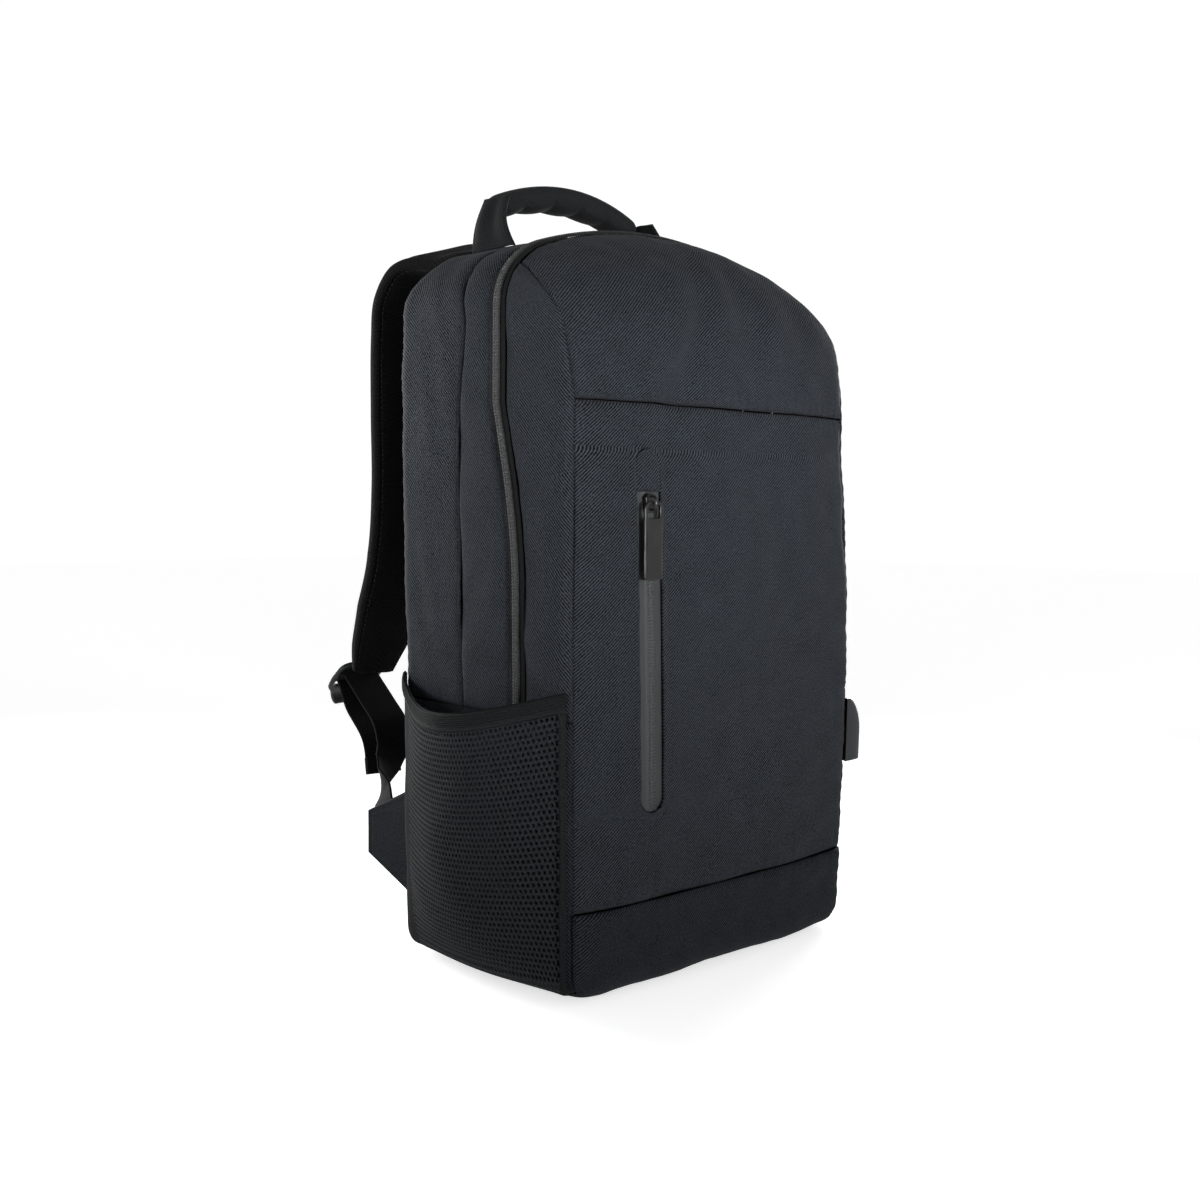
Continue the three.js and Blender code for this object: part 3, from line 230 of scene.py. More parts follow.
def face_normals(p):
    """Unit normals on a grid of points: the cross product of its two slopes, turned away from the
    bag's middle line."""
    normal = np.cross(np.gradient(p, axis=1), np.gradient(p, axis=0))
    normal /= np.linalg.norm(normal, axis=-1, keepdims=True) + 1e-12
    outward = p - np.array([0, 0, body_height * 0.45])
    return normal * np.sign(np.sum(normal * outward))


def runs(p):
    """Distance along each row and each column of a grid of points, from their first one."""
    across = np.cumsum(np.linalg.norm(np.diff(p, axis=1), axis=-1), 1)
    up = np.cumsum(np.linalg.norm(np.diff(p, axis=0), axis=-1), 0)
    return np.pad(across, ((0, 0), (1, 0))), np.pad(up, ((1, 0), (0, 0)))


def wrinkles(u, v, seed, size=0.3 * mm):
    """Slight unevenness of cloth: a sum of sines of seeded lengths, directions and phases."""
    random = np.random.default_rng(seed)
    total = np.zeros_like(u)
    for length in np.geomspace(14 * mm, 90 * mm, 14):
        turn, phase = random.uniform(0, 2 * np.pi, 2)
        along = (u * np.cos(turn) + v * np.sin(turn)) / length
        total = total + np.sin(2 * np.pi * along + phase) * size * length / (90 * mm)
    return total


def sewn(p, seed, groove=1.9 * mm, pucker=0.4 * mm, fullness=1.8 * mm):
    """Cloth between its seams: it dips into them by two exponentials of the distance from the
    nearest edge, puckers beside them in short waves, and is slightly uneven."""
    u, v = runs(p)
    edges = np.stack([u, u[:, -1:] - u, v, v[-1:] - v])
    near = edges.min(0)
    beside = np.where(edges[:2].min(0) < edges[2:].min(0), v, u)
    wave = np.sin(2 * np.pi * beside / (8.5 * mm) + 2.2 * np.sin(beside / (17 * mm)))
    depth = groove * np.exp(-near / (2 * mm)) + fullness * np.exp(-near / (10 * mm)) - fullness * 0.3
    depth = depth - pucker * wave * np.exp(-near / (6 * mm)) * (1 - np.exp(-near / (2 * mm)))
    depth = depth - wrinkles(u, v, seed)
    return p - face_normals(p) * depth[..., None]


def make_mesh(name, vertices, faces, corners=None):
    """A smooth-shaded mesh from vertices and faces, with a UV pair in metres for each corner."""
    mesh = bpy.data.meshes.new(name)
    faces = faces.tolist() if isinstance(faces, np.ndarray) else faces
    mesh.from_pydata(np.asarray(vertices).reshape(-1, 3).tolist(), [], faces)
    if corners is not None:
        layer = mesh.uv_layers.new(name="cloth")
        layer.data.foreach_set("uv", np.asarray(corners, np.float32).ravel())
    mesh.polygons.foreach_set("use_smooth", np.ones(len(mesh.polygons), bool))
    mesh.update()
    piece = bpy.data.objects.new(name, mesh)
    bpy.context.scene.collection.objects.link(piece)
    return piece


def grid_cells(rows, columns, wrap=False):
    """The four corners of each cell of a grid; wrap joins its last column to its first."""
    j, i = np.meshgrid(np.arange(rows - 1), np.arange(columns - (not wrap)), indexing="ij")
    ends = (i + 1) % columns
    cells = [j * columns + i, j * columns + ends, (j + 1) * columns + ends, (j + 1) * columns + i]
    return np.stack(cells, -1).reshape(-1, 4)


def sheet_of(name, p, thickness, opening=None, upright=False):
    """A cloth wall from a grid of points: faces outwards, UV in metres from the runs about the
    middle, and its thickness inwards. An opening leaves out the cells that it marks. On an upright
    sheet the second run is the height itself."""
    rows, columns = p.shape[:2]
    u, v = runs(p)
    u = u - u[:, columns // 2, None]
    v = p[..., 2] if upright else v - v[None, rows // 2]
    faces = grid_cells(rows, columns)
    if opening is not None:
        faces = faces[~opening.ravel()]
    normal = np.cross(np.gradient(p, axis=1), np.gradient(p, axis=0))
    if np.sum(normal * face_normals(p)) < 0:
        faces = faces[:, ::-1]
    uv = np.stack([u, v], -1).reshape(-1, 2)
    piece = make_mesh(name, p, faces, uv[faces.ravel()])
    wall = piece.modifiers.new("wall", "SOLIDIFY")
    wall.thickness = thickness
    wall.offset = -1
    return piece


def dress(piece, material, slot, *nodes, body="bag"):
    """Gives a piece its material, lets it stand for its CAD nodes and ride on a body. Its slot is not used.
    """
    piece.data.materials.append(material)
    if nodes:
        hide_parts(*nodes)
    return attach(piece, body)


def new_material(name, roughness, fixed=None):
    """A material with its shader's fixed values set on the sockets themselves."""
    material = bpy.data.materials.new(name)
    material.use_nodes = True
    shader = material.node_tree.nodes["Principled BSDF"]
    shader.inputs["Roughness"].default_value = roughness
    for socket, value in (fixed or {}).items():
        shader.inputs[socket].default_value = value
    return material, material.node_tree.nodes, material.node_tree.links, shader


def scaled_place(nodes, links, source, scale, turn=0.0):
    """Coordinates for a pattern: the piece's UV or Object place, turned and scaled."""
    place = nodes.new("ShaderNodeTexCoord")
    mapping = nodes.new("ShaderNodeMapping")
    mapping.inputs["Scale"].default_value = scale
    mapping.inputs["Rotation"].default_value = (0, 0, turn)
    links.new(place.outputs[source], mapping.inputs["Vector"])
    return mapping.outputs["Vector"]


def bands(nodes, links, vector, pitch, direction="X", distortion=0.0):
    """Even sine bands across a direction, at a pitch in the pattern's units."""
    wave = nodes.new("ShaderNodeTexWave")
    wave.bands_direction = direction
    wave.inputs["Scale"].default_value = (2 * np.pi / 20) / pitch
    wave.inputs["Distortion"].default_value = distortion
    wave.inputs["Detail"].default_value = 1
    wave.inputs["Detail Scale"].default_value = 2
    links.new(vector, wave.inputs["Vector"])
    return wave.outputs["Fac"]


def noise(nodes, links, vector, scale, detail=3.0):
    """Soft noise at a scale in the pattern's units."""
    cloud = nodes.new("ShaderNodeTexNoise")
    cloud.inputs["Scale"].default_value = scale
    cloud.inputs["Detail"].default_value = detail
    links.new(vector, cloud.inputs["Vector"])
    return cloud.outputs["Fac"]


def maths(nodes, links, kind, a, b):
    """One sum of two values, each a number or another node's output."""
    node = nodes.new("ShaderNodeMath")
    node.operation = kind
    for socket, value in zip(node.inputs, (a, b)):
        if isinstance(value, (int, float)):
            socket.default_value = value
        else:
            links.new(value, socket)
    return node.outputs[0]


def tones(nodes, links, factor, dark, light, shader):
    """Colour between two tones by a pattern."""
    ramp = nodes.new("ShaderNodeValToRGB")
    ramp.color_ramp.elements[0].position = 0.44
    ramp.color_ramp.elements[1].position = 0.56
    ramp.color_ramp.elements[0].color = (*dark, 1)
    ramp.color_ramp.elements[1].color = (*light, 1)
    links.new(factor, ramp.inputs["Fac"])
    links.new(ramp.outputs["Color"], shader.inputs["Base Color"])


def relief(nodes, links, height, distance, strength, shader):
    """Bump from a pattern, with its height in metres."""
    bump = nodes.new("ShaderNodeBump")
    bump.inputs["Distance"].default_value = distance
    bump.inputs["Strength"].default_value = strength
    links.new(height, bump.inputs["Height"])
    links.new(bump.outputs["Normal"], shader.inputs["Normal"])


def twill(name, tone, spread=0.3, sheen=0.01):
    """Twill cloth of light and dark yarns: short diagonal slubs, broken by the crossing yarns, over
    fine diagonal ribs, with slightly uneven patches."""
    finish = {"Sheen Weight": sheen, "Sheen Roughness": 0.5, "Specular IOR Level": 0.03}
    material, nodes, links, shader = new_material(name, 0.8, finish)
    slope = np.radians(50)
    fine = (1000, 1000, 1000)
    ribs = bands(nodes, links, scaled_place(nodes, links, "UV", fine, slope), twill_pitch, distortion=0.25)
    flecks = noise(nodes, links, scaled_place(nodes, links, "UV", fine), 0.66, 3)
    slubs = noise(nodes, links, scaled_place(nodes, links, "UV", (1100, 420, 1000), slope), 1.0, 2)
    patches = noise(nodes, links, scaled_place(nodes, links, "UV", (60, 60, 60)), 1.0, 2)
    rib_share, fleck_share, slub_share, patch_share = 0.3, 0.55, 0.25, 0.1
    total = maths(nodes, links, "MULTIPLY", ribs, rib_share)
    for part, share in ((flecks, fleck_share), (slubs, slub_share), (patches, patch_share)):
        total = maths(nodes, links, "ADD", total, maths(nodes, links, "MULTIPLY", part, share))
    above_half = 0.1
    centred = maths(nodes, links, "SUBTRACT", total, above_half)
    dark, light = [tuple(c * share for c in tone) for share in (1 - spread, 1 + spread)]
    tones(nodes, links, centred, dark, light, shader)
    height = maths(nodes, links, "ADD", flecks, maths(nodes, links, "MULTIPLY", ribs, 0.5))
    relief(nodes, links, height, 0.3 * mm, 0.55, shader)
    return material


# the slot of the pocket zip: its lower and upper end, and the middle line's place at each of them
zip_low, zip_high, half_slot = 106 * mm, 317 * mm, 9.25 * mm
zip_low_x, zip_high_x = -66.5 * mm, -72 * mm
stitch_line, stitch_groove = 5 * mm, 0.7 * mm


def zip_x(z):
    """The zip leans: its middle line goes straight from its lower to its upper end."""
    return mix(zip_low_x, zip_high_x, (z - zip_low) / (zip_high - zip_low))


def slot_half(z):
    """Half the slot's width at a height: a half circle at each end, cut off where it is narrow."""
    past = np.maximum(zip_low + half_slot - z, z - zip_high + half_slot) / half_slot
    return half_slot * np.sqrt(1 - 0.93 * np.clip(past, 0, 1) ** 2)


def from_slot(x, z):
    """Distance outside the slot: from a point to its straight middle line, less its radius."""
    past = np.maximum(0, np.maximum(zip_low + half_slot - z, z - zip_high + half_slot))
    return np.hypot(x - zip_x(z), past) - half_slot


def laid_on(path, cloth, lift=0.0):
    """A path let down on a grid of cloth: each point moves along the normal of the grid point
    nearest to it until it lies in its plane. Also gives those normals."""
    normals = face_normals(cloth).reshape(-1, 3)
    points = cloth.reshape(-1, 3)
    square = np.sum(path**2, -1)[:, None] - 2 * path @ points.T + np.sum(points**2, -1)[None]
    nearest = np.argmin(square, 1)
    out = normals[nearest]
    height = np.sum((points[nearest] - path) * out, -1) + lift
    return path + out * height[:, None], out


pack_cloth = twill("pack_cloth", cloth_tone, spread=0.9)
seam_low, seam_high = band_seam_height + seam_gap / 2, yoke_seam_height - seam_gap / 2
rounded = half_slot * (1 - np.cos(np.linspace(0, np.pi / 2, 12)))
heights = np.concatenate(
    [
        np.linspace(seam_low, zip_low, 28, endpoint=False),
        zip_low + rounded,
        np.linspace(zip_low + half_slot, zip_high - half_slot, 96)[1:-1],
        (zip_high - rounded)[::-1],
        np.linspace(zip_high, seam_high, 16)[1:],
    ]
)
left_share, slot_columns, right_columns = 28, 6, 96
half_at = -envelope(share_at_height(heights), front_seam_y)[..., 0]
edges = np.stack([zip_x(heights) - slot_half(heights), zip_x(heights) + slot_half(heights)]) / half_at
columns = [
    mix(-1, edges[0][:, None], np.linspace(0, 1, left_share, endpoint=False)),
    mix(edges[0][:, None], edges[1][:, None], np.linspace(0, 1, slot_columns, endpoint=False)),
    mix(edges[1][:, None], 1, np.linspace(0, 1, right_columns)),
]
x = np.concatenate(columns, 1)
z = np.broadcast_to(heights[:, None], x.shape)
front_grid = sewn(front_point(x, z), seed=1)
beyond = from_slot(front_grid[..., 0], front_grid[..., 2])
press = stitch_groove * np.exp(-(((beyond - stitch_line) / (1.1 * mm)) ** 2))
press = press - 0.6 * mm * np.exp(-((beyond / (2.2 * mm)) ** 2)) + 0.5 * mm * (beyond < 0.3 * mm)
front_grid = front_grid - face_normals(front_grid) * press[..., None]
inside = np.zeros((len(heights) - 1, x.shape[1] - 1), bool)
first_row, last_row = 28, len(heights) - 16
inside[first_row:last_row, left_share:left_share + slot_columns] = True
front_cloth = sheet_of("front_cloth", front_grid, 2 * mm, inside, upright=True)
dress(front_cloth, pack_cloth, "pack_cloth", "front_panel")

# Front yoke
# The field over the front panel, cut from the same twill. It climbs the front edge and rolls back
# over the top to the main zip, and the filled bag gathers it into soft slanting folds.
yoke_rise = [0, 0.26, 0.45, 0.6, 0.73, 0.83, 0.93, 1]
yoke_back = [0, 0.05, 0.11, 0.2, 0.36, 0.56, 0.78, 1]
yoke_roll, yoke_roll_end = 78 * mm, np.radians(68)
yoke_corner_height = body_height - 29 * mm
zip_line_top = front_y + 62 * mm
zip_forward, zip_bend_length, zip_tape_width = 16 * mm, 110 * mm, 12 * mm
zip_front_top = zip_line_top - zip_tape_width / 2 - seam_gap / 2
corner_share = float(share_at_height(yoke_corner_height))


def roll_over(row_at, rim_depth, v, start, x, share):
    """A field whose last row has to lie on the body form: the difference there is worked into the
    rows before it by the square of a smooth step."""
    missing = envelope(share, rim_depth) - row_at(np.ones_like(v), x)
    return row_at(v, x) + missing * (ease((v - start) / (1 - start)) ** 2)[..., None]


def yoke_row(v, x):
    """A row of the yoke: straight up to where it rolls, then an arc back to the zip."""
    steps = np.linspace(0, 1, len(yoke_rise))
    height = mix(yoke_seam_height, yoke_corner_height, np.interp(v, steps, yoke_rise))
    back = np.interp(v, steps, yoke_back)
    side = envelope(share_at_height(height), mix(front_seam_y, zip_front_top, back))
    straight = 2 / (len(yoke_rise) - 1)
    start = front_y - crown_at(yoke_seam_height)
    roll_start = body_height - yoke_roll
    turn = np.clip((v - straight) / (1 - straight), 0, 1) * yoke_roll_end
    top = envelope(0.5, zip_front_top)[2]
    middle_y = mix(start, zip_front_top, (1 - np.cos(turn)) / (1 - np.cos(yoke_roll_end)))
    middle_z = np.where(
        v < straight,
        mix(yoke_seam_height, roll_start, v / straight),
        mix(roll_start, top, np.sin(turn) / np.sin(yoke_roll_end)),
    )
    return row(side, middle_y, middle_z, x)


def field(row_at, rim_depth, first, start, rows, columns, low=0.0):
    """A field of cloth whose columns run up to even steps along the body form's top."""
    share, v = grid(rows, columns, (first, low), (1 - first, 1))
    x = outline(share)[0]
    return roll_over(row_at, rim_depth, v, start, x / np.abs(x[0, 0]), share)


yoke = filled(folded(field(yoke_row, zip_front_top, corner_share, 0.3, 96, 150, low=0.004)))
yoke = sewn(yoke, seed=2)
yoke_cloth = sheet_of("yoke_cloth", yoke, 2 * mm)
dress(yoke_cloth, pack_cloth, "pack_cloth", "front_yoke")

# Base
# Cloth in a darker tone than the front's: it starts under the back panel, runs flat under the bag
# and rolls up its front edge into the band below the front panel.
flat_base, base_roll = 0.72, 18 * mm
base_seam_share = base_run * 0.45 / outline_length
base_tone = (0.0074, 0.0085, 0.0103)


def base_point(x, v):
    """Base and band by a share v: a quarter roll at the back, the flat, a quarter roll up the front
    and the upright band."""
    back_start, back_end = back_seam_y - seam_gap / 2, back_y - back_edge_radius
    front_roll = front_y - crown_at(0) + base_roll
    side_front = front_seam_y + front_inset
    top = band_seam_height - seam_gap / 2
    a = np.clip(v / (2 / 12), 0, 1)
    b = np.clip((v - 2 / 12) / (3 / 12), 0, 1)
    c = np.clip((v - 5 / 12) / (4 / 12), 0, 1)
    d = np.clip((v - 9 / 12) / (3 / 12), 0, 1)
    back_turn, turn = np.pi / 4 * (1 - a), c * np.pi / 2
    side_y = np.select(
        [v <= 2 / 12, v <= 5 / 12, v <= 9 / 12],
        [mix(back_start, back_end, a), mix(back_end, side_front, b), mix(side_front, front_seam_y, c)],
        np.full_like(v, front_seam_y),
    )
    band_z = mix(base_roll, top, d)
    middle_y = np.select(
        [v <= 2 / 12, v <= 5 / 12, v <= 9 / 12],
        [
            back_end + (back_edge_radius - seam_gap / 2) * np.sin(back_turn),
            mix(back_end, front_roll, b),
            front_roll - base_roll * np.sin(turn),
        ],
        front_y - crown_at(band_z),
    )
    middle_z = np.select(
        [v <= 2 / 12, v <= 5 / 12, v <= 9 / 12],
        [back_edge_radius * (1 - np.cos(back_turn)), np.zeros_like(v), base_roll * (1 - np.cos(turn))],
        band_z,
    )
    share = mix(base_seam_share, share_at_height(top), d)
    return filled(row(envelope(share, side_y), middle_y, middle_z, x, flat_base))


base_cloth_material = twill("base_cloth", base_tone, spread=0.9)
x, v = grid(110, 120, (-1, 0))
base_cloth = sheet_of("base_cloth", sewn(base_point(x, v), seed=3, fullness=0.3 * mm), 2 * mm)
dress(base_cloth, base_cloth_material, "pack_cloth", "base_panel")

# Lower sides
# The side cloth below the ends of the main zip, one piece on each side, from the base seam up. The
# left one lies behind the netting and is given the darker base cloth: painted shade for the netting's shadow
# on it.
lower_panel_height = 163 * mm
gap_share = seam_gap / 2 / outline_length
lower_share = float(share_at_height(lower_panel_height))
on_side = {"left": np.array([1, 1, 1]), "right": np.array([-1, 1, 1])}


def body_patch(first, last, front_line, back_line, rows, columns, side="left"):
    """A patch of the body form between two shares of its outline and two lines in depth."""
    share, v = grid(rows, columns, (first, 0), (last, 1))
    front, back = front_line(share) + seam_gap / 2, back_line(share) - seam_gap / 2
    return filled(envelope(share, mix(front, back, v)) * on_side[side])


for side in on_side:
    p = body_patch(
        base_seam_share + gap_share,
        lower_share - gap_share,
        lambda share: front_seam_y,
        lambda share: back_seam_y,
        90,
        86,
        side,
    )
    piece = sheet_of("lower_side_cloth_" + side, sewn(p, seed=4), 2 * mm)
    # the left side cloth is the darker base cloth: painted shade where the netting shades it
    side_cloth_and_painted_shade = base_cloth_material if side == "left" else pack_cloth
    dress(piece, side_cloth_and_painted_shade, "pack_cloth", "lower_side_" + side)

# Side strips in front of the main zip
# A narrow twill strip on each side, from the lower side panel up to where the yoke meets the zip.


def main_zip_line(share):
    """Depth of the main zip at a share: level over the top, running forward down the sides by a
    quarter sine below the yoke seam."""
    below = np.clip((yoke_seam_height - outline(share)[1]) / zip_bend_length, 0, 1)
    return zip_line_top - zip_forward * np.sin(below * np.pi / 2)


def front_seam(share):
    """Depth of the front seam: on the front edge, then back over the shoulder to the zip."""
    height = (outline(share)[1] - yoke_seam_height) / (yoke_corner_height - yoke_seam_height)
    back = np.interp(np.clip(height, 0, 1), yoke_rise, yoke_back)
    return mix(front_seam_y, main_zip_line(share) - zip_tape_width / 2, back)


def zip_edge(share, side):
    """Depth of the zip tape's front edge, side -1, or back edge, side 1."""
    return main_zip_line(share) + side * zip_tape_width / 2


left_strip = body_patch(
    lower_share, corner_share * 0.9985, front_seam, lambda share: zip_edge(share, -1), 36, 170
)
left_strip = sewn(left_strip, seed=5, fullness=0.5 * mm)
piece = sheet_of("front_strip_left", left_strip, 2 * mm)
dress(piece, pack_cloth, "pack_cloth", "front_gusset_left")

# the right strip is cut open for a short zip
side_slot_low, side_slot_high = 172.6 * mm, 357.4 * mm
side_slot_front, side_slot_back = -69.3 * mm, -59.7 * mm
slot_shares = share_at_height(np.array([side_slot_low, side_slot_high]))
share = np.concatenate(
    [
        np.linspace(lower_share, slot_shares[0], 5, endpoint=False),
        np.linspace(slot_shares[0], slot_shares[1], 130),
        np.linspace(slot_shares[1], corner_share * 0.9985, 40)[1:],
    ]
)[None]
held = np.minimum(share, slot_shares[1])
held_front = front_seam(held) + seam_gap / 2
held_depth = zip_edge(held, -1) - seam_gap / 2 - held_front
cuts = [(side_slot_front - held_front) / held_depth, (side_slot_back - held_front) / held_depth]
v = np.concatenate(
    [
        cuts[0] * np.linspace(0, 1, 6, endpoint=False)[:, None],
        mix(cuts[0], cuts[1], np.linspace(0, 1, 4, endpoint=False)[:, None]),
        mix(cuts[1], 1, np.linspace(0, 1, 18)[:, None]),
    ]
)
share = np.broadcast_to(share, v.shape)
depth = mix(front_seam(share) + seam_gap / 2, zip_edge(share, -1) - seam_gap / 2, v)
right_strip = sewn(filled(envelope(share, depth) * on_side["right"]), seed=5, fullness=0.5 * mm)
inside = np.zeros((v.shape[0] - 1, v.shape[1] - 1), bool)
inside[6:10, 5:134] = True
piece = sheet_of("front_strip_right", right_strip, 2 * mm, inside)
dress(piece, pack_cloth, "pack_cloth", "front_gusset_right")

# Strips behind the main zip
# Two strips of twill sewn edge to edge, up one side, over the top and down the other. Their seam
# kinks forward below the shoulders, where the strap's load comes in.


def rear_seam(share):
    """Depth of the seam between the two strips: a set distance behind the zip, less a bell-shaped
    kink on the sides."""
    away = (outline(share)[1] - body_height + 63 * mm) / (26 * mm)
    return zip_line_top + 34 * mm - 5 * mm * np.exp(-away * away) * (1 - topness(share))


middle = body_patch(lower_share, 1 - lower_share, lambda share: zip_edge(share, 1), rear_seam, 22, 460)
middle = sewn(middle, seed=6, fullness=0.5 * mm)
middle_strip = sheet_of("middle_strip", middle, 2 * mm)
dress(middle_strip, pack_cloth, "pack_cloth", "middle_gusset")
rear = body_patch(lower_share, 1 - lower_share, rear_seam, lambda share: back_seam_y, 40, 460)
rear = sewn(rear, seed=7, fullness=0.7 * mm)
rear_strip = sheet_of("rear_strip", rear, 2 * mm)
dress(rear_strip, pack_cloth, "pack_cloth", "rear_gusset")

# Main zip
# A nylon zip round the top of the main compartment: two woven tapes with the coil between them,
# whose turns show as slanting teeth, and a lacquered slider with its pull at the right end.
zip_tone = (0.016, 0.0165, 0.0165)
tape_tone = (0.0032, 0.0034, 0.0036)
metal_tone = (0.0022, 0.00215, 0.00215)
tooth_pitch = 1.9 * mm


def woven(name, tone, pitch, roughness=0.8, spread=0.25, sheen=0.01):
    """Flat woven tape: fine ribs across its run, broken by its yarns."""
    finish = {"Sheen Weight": sheen, "Specular IOR Level": 0.05}
    material, nodes, links, shader = new_material(name, roughness, finish)
    place = scaled_place(nodes, links, "UV", (1000, 1000, 1000))
    ribs = bands(nodes, links, place, pitch, "Y", 0.3)
    yarns = bands(nodes, links, place, pitch * 0.8, "X", 0.3)
    weave = maths(nodes, links, "MULTIPLY_ADD", ribs, 0.6)
    links.new(maths(nodes, links, "MULTIPLY", yarns, 0.4), weave.node.inputs[2])
    blend = maths(nodes, links, "MULTIPLY_ADD", noise(nodes, links, place, 0.6, 3), 0.6)
    links.new(maths(nodes, links, "MULTIPLY", weave, 0.4), blend.node.inputs[2])
    dark, light = [tuple(c * share for c in tone) for share in (1 - spread, 1 + spread)]
    tones(nodes, links, blend, dark, light, shader)
    relief(nodes, links, weave, 0.3 * mm, 0.6, shader)
    return material


def plastic(name, tone, roughness, source="Object", grain=1600.0, strength=0.12, metallic=0.0, coat=0.0):
    """Moulded or lacquered surface: an even tone with a fine grain and slight wear of its gloss."""
    finish = {"Metallic": metallic, "Coat Weight": coat, "Coat Roughness": 0.2, "Specular IOR Level": 0.2}
    material, nodes, links, shader = new_material(name, roughness, finish)
    place = scaled_place(nodes, links, source, (1, 1, 1))
    fine = noise(nodes, links, place, grain, 2)
    broad = noise(nodes, links, place, grain * 0.05, 3)
    tones(nodes, links, broad, tuple(c * 0.82 for c in tone), tuple(c * 1.18 for c in tone), shader)
    sheen = maths(nodes, links, "MULTIPLY_ADD", broad, 0.2)
    sheen.node.inputs[2].default_value = roughness - 0.1
    links.new(sheen, shader.inputs["Roughness"])
    relief(nodes, links, fine, 0.1 * mm, strength, shader)
    return material


def herringbone(across, along, pitch, slant=0.55):
    """Height from 0 to 1 of a coil's turns: waves along the zip that slant away from its middle."""
    return 0.5 + 0.5 * np.cos(2 * np.pi * (along - slant * np.abs(across)) / pitch)


def zip_surface(first, last, half, rows, columns):
    """A strip of the body form along the main zip, with the distance across and along it."""
    share, v = grid(rows, columns, (first, -1), (last, 1))
    p = filled(envelope(share, main_zip_line(share) + half * v))
    along = runs(p)[0][rows // 2]
    return p, half * v, np.broadcast_to(along, v.shape)


def chevron_light_and_shade(name, dark, light, half, along="X", roughness=0.5, pitch=tooth_pitch, slant=0.55):
    """Nylon turns in two rows: a sine along the zip, set back by its distance from the middle line,
    within half the coil's width, painted light on the turns' crests and dark between them as painted
    highlight and shade; the dark tone beside it."""
    material, nodes, links, shader = new_material(name, roughness, {"Specular IOR Level": 0.15})
    place = nodes.new("ShaderNodeTexCoord")
    split = nodes.new("ShaderNodeSeparateXYZ")
    links.new(place.outputs["UV"], split.inputs[0])
    run, across = split.outputs["X"], split.outputs["Y"]
    if along == "Y":
        run, across = across, run
    beside = nodes.new("ShaderNodeMath")
    beside.operation = "ABSOLUTE"
    links.new(across, beside.inputs[0])
    set_back = maths(nodes, links, "SUBTRACT", run, maths(nodes, links, "MULTIPLY", beside.outputs[0], slant))
    turns = nodes.new("ShaderNodeMath")
    turns.operation = "COSINE"
    links.new(maths(nodes, links, "MULTIPLY", set_back, 2 * np.pi / pitch), turns.inputs[0])
    within = maths(nodes, links, "LESS_THAN", beside.outputs[0], half)
    raised = maths(nodes, links, "MULTIPLY_ADD", turns.outputs[0], 0.5)
    raised.node.inputs[2].default_value = 0.5
    # painted highlight on the turns' crests, painted shade between them
    lit = maths(nodes, links, "MULTIPLY", raised, within)
    tones(nodes, links, lit, dark, light, shader)
    relief(nodes, links, lit, 0.3 * mm, 0.5, shader)
    return material


tape_cloth = woven("zip_tape", tape_tone, 0.8)
# the coil's tones are painted highlight on its crests and painted shade between its turns
coil_light_and_shade_tones = [tuple(c * share for c in zip_tone) for share in (0.25, 2.1)]
coil_nylon = chevron_light_and_shade("coil_nylon", *coil_light_and_shade_tones, 2.7 * mm)
lacquer = plastic("black_lacquer", metal_tone, 0.34, "Object", 1200, 0.05, coat=0.15)

p, across, along = zip_surface(lower_share, 1 - lower_share, zip_tape_width / 2, 13, 520)
beside_coil = 0.35 * mm * np.cos(2 * np.pi * across / (1.1 * mm)) * (np.abs(across) > 3.2 * mm)
tape = sheet_of("main_zip_tapes", p - face_normals(p) * (1.0 * mm - 0.2 * beside_coil)[..., None], 1 * mm)
dress(tape, tape_cloth, "webbing", "main_zip_tape")

p, across, along = zip_surface(lower_share, 1 - lower_share, 2.9 * mm, 13, 2300)
round_top = np.sqrt(np.clip(1 - (across / (2.95 * mm)) ** 2, 0, 1))
height = (-1.0 + 1.9 * round_top) * mm + 0.75 * mm * round_top * herringbone(across, along, tooth_pitch)
height = height - 0.5 * mm * np.exp(-((across / (0.35 * mm)) ** 2))
coil = sheet_of("main_zip_teeth", p + face_normals(p) * height[..., None], 0.4 * mm)
dress(coil, coil_nylon, "zip_coil", "main_zip_coil")


def rounded_loop(width, low, high, low_radius, high_radius, steps=7):
    """Outline of a plate: a rectangle from low to high with round corners, anticlockwise."""
    half = width / 2
    corners = [
        (half - low_radius, low + low_radius, low_radius, -90),
        (half - high_radius, high - high_radius, high_radius, 0),
        (-half + high_radius, high - high_radius, high_radius, 90),
        (-half + low_radius, low + low_radius, low_radius, 180),
    ]
    turn = np.radians(np.linspace(0, 90, steps))
    arcs = []
    for x0, z0, radius, start in corners:
        angle = turn + np.radians(start)
        arcs.append(np.stack([x0 + radius * np.cos(angle), z0 + radius * np.sin(angle)], -1))
    loop = np.concatenate(arcs)
    ends = np.concatenate([loop, loop[:1]])
    sides = np.linalg.norm(np.diff(ends, axis=0), axis=1)
    steps_along = [max(2, int(side / (2 * mm)) + 1) for side in sides]
    extra = [loop[k] + (ends[k + 1] - loop[k]) * np.linspace(0, 1, steps_along[k])[:-1, None]
             for k in range(len(sides))]
    return np.concatenate(extra)


def window_loop(loop, centre, half_x, half_z, power=5):
    """A rounded window inside an outline, with a point towards each of the outline's points: a
    superellipse about its centre."""
    turn = np.arctan2(loop[:, 1] - centre, loop[:, 0])
    cosine, sine = np.abs(np.cos(turn)) / half_x, np.abs(np.sin(turn)) / half_z
    radius = (cosine**power + sine**power) ** (-1 / power)
    return np.stack([radius * np.cos(turn), centre + radius * np.sin(turn)], -1)


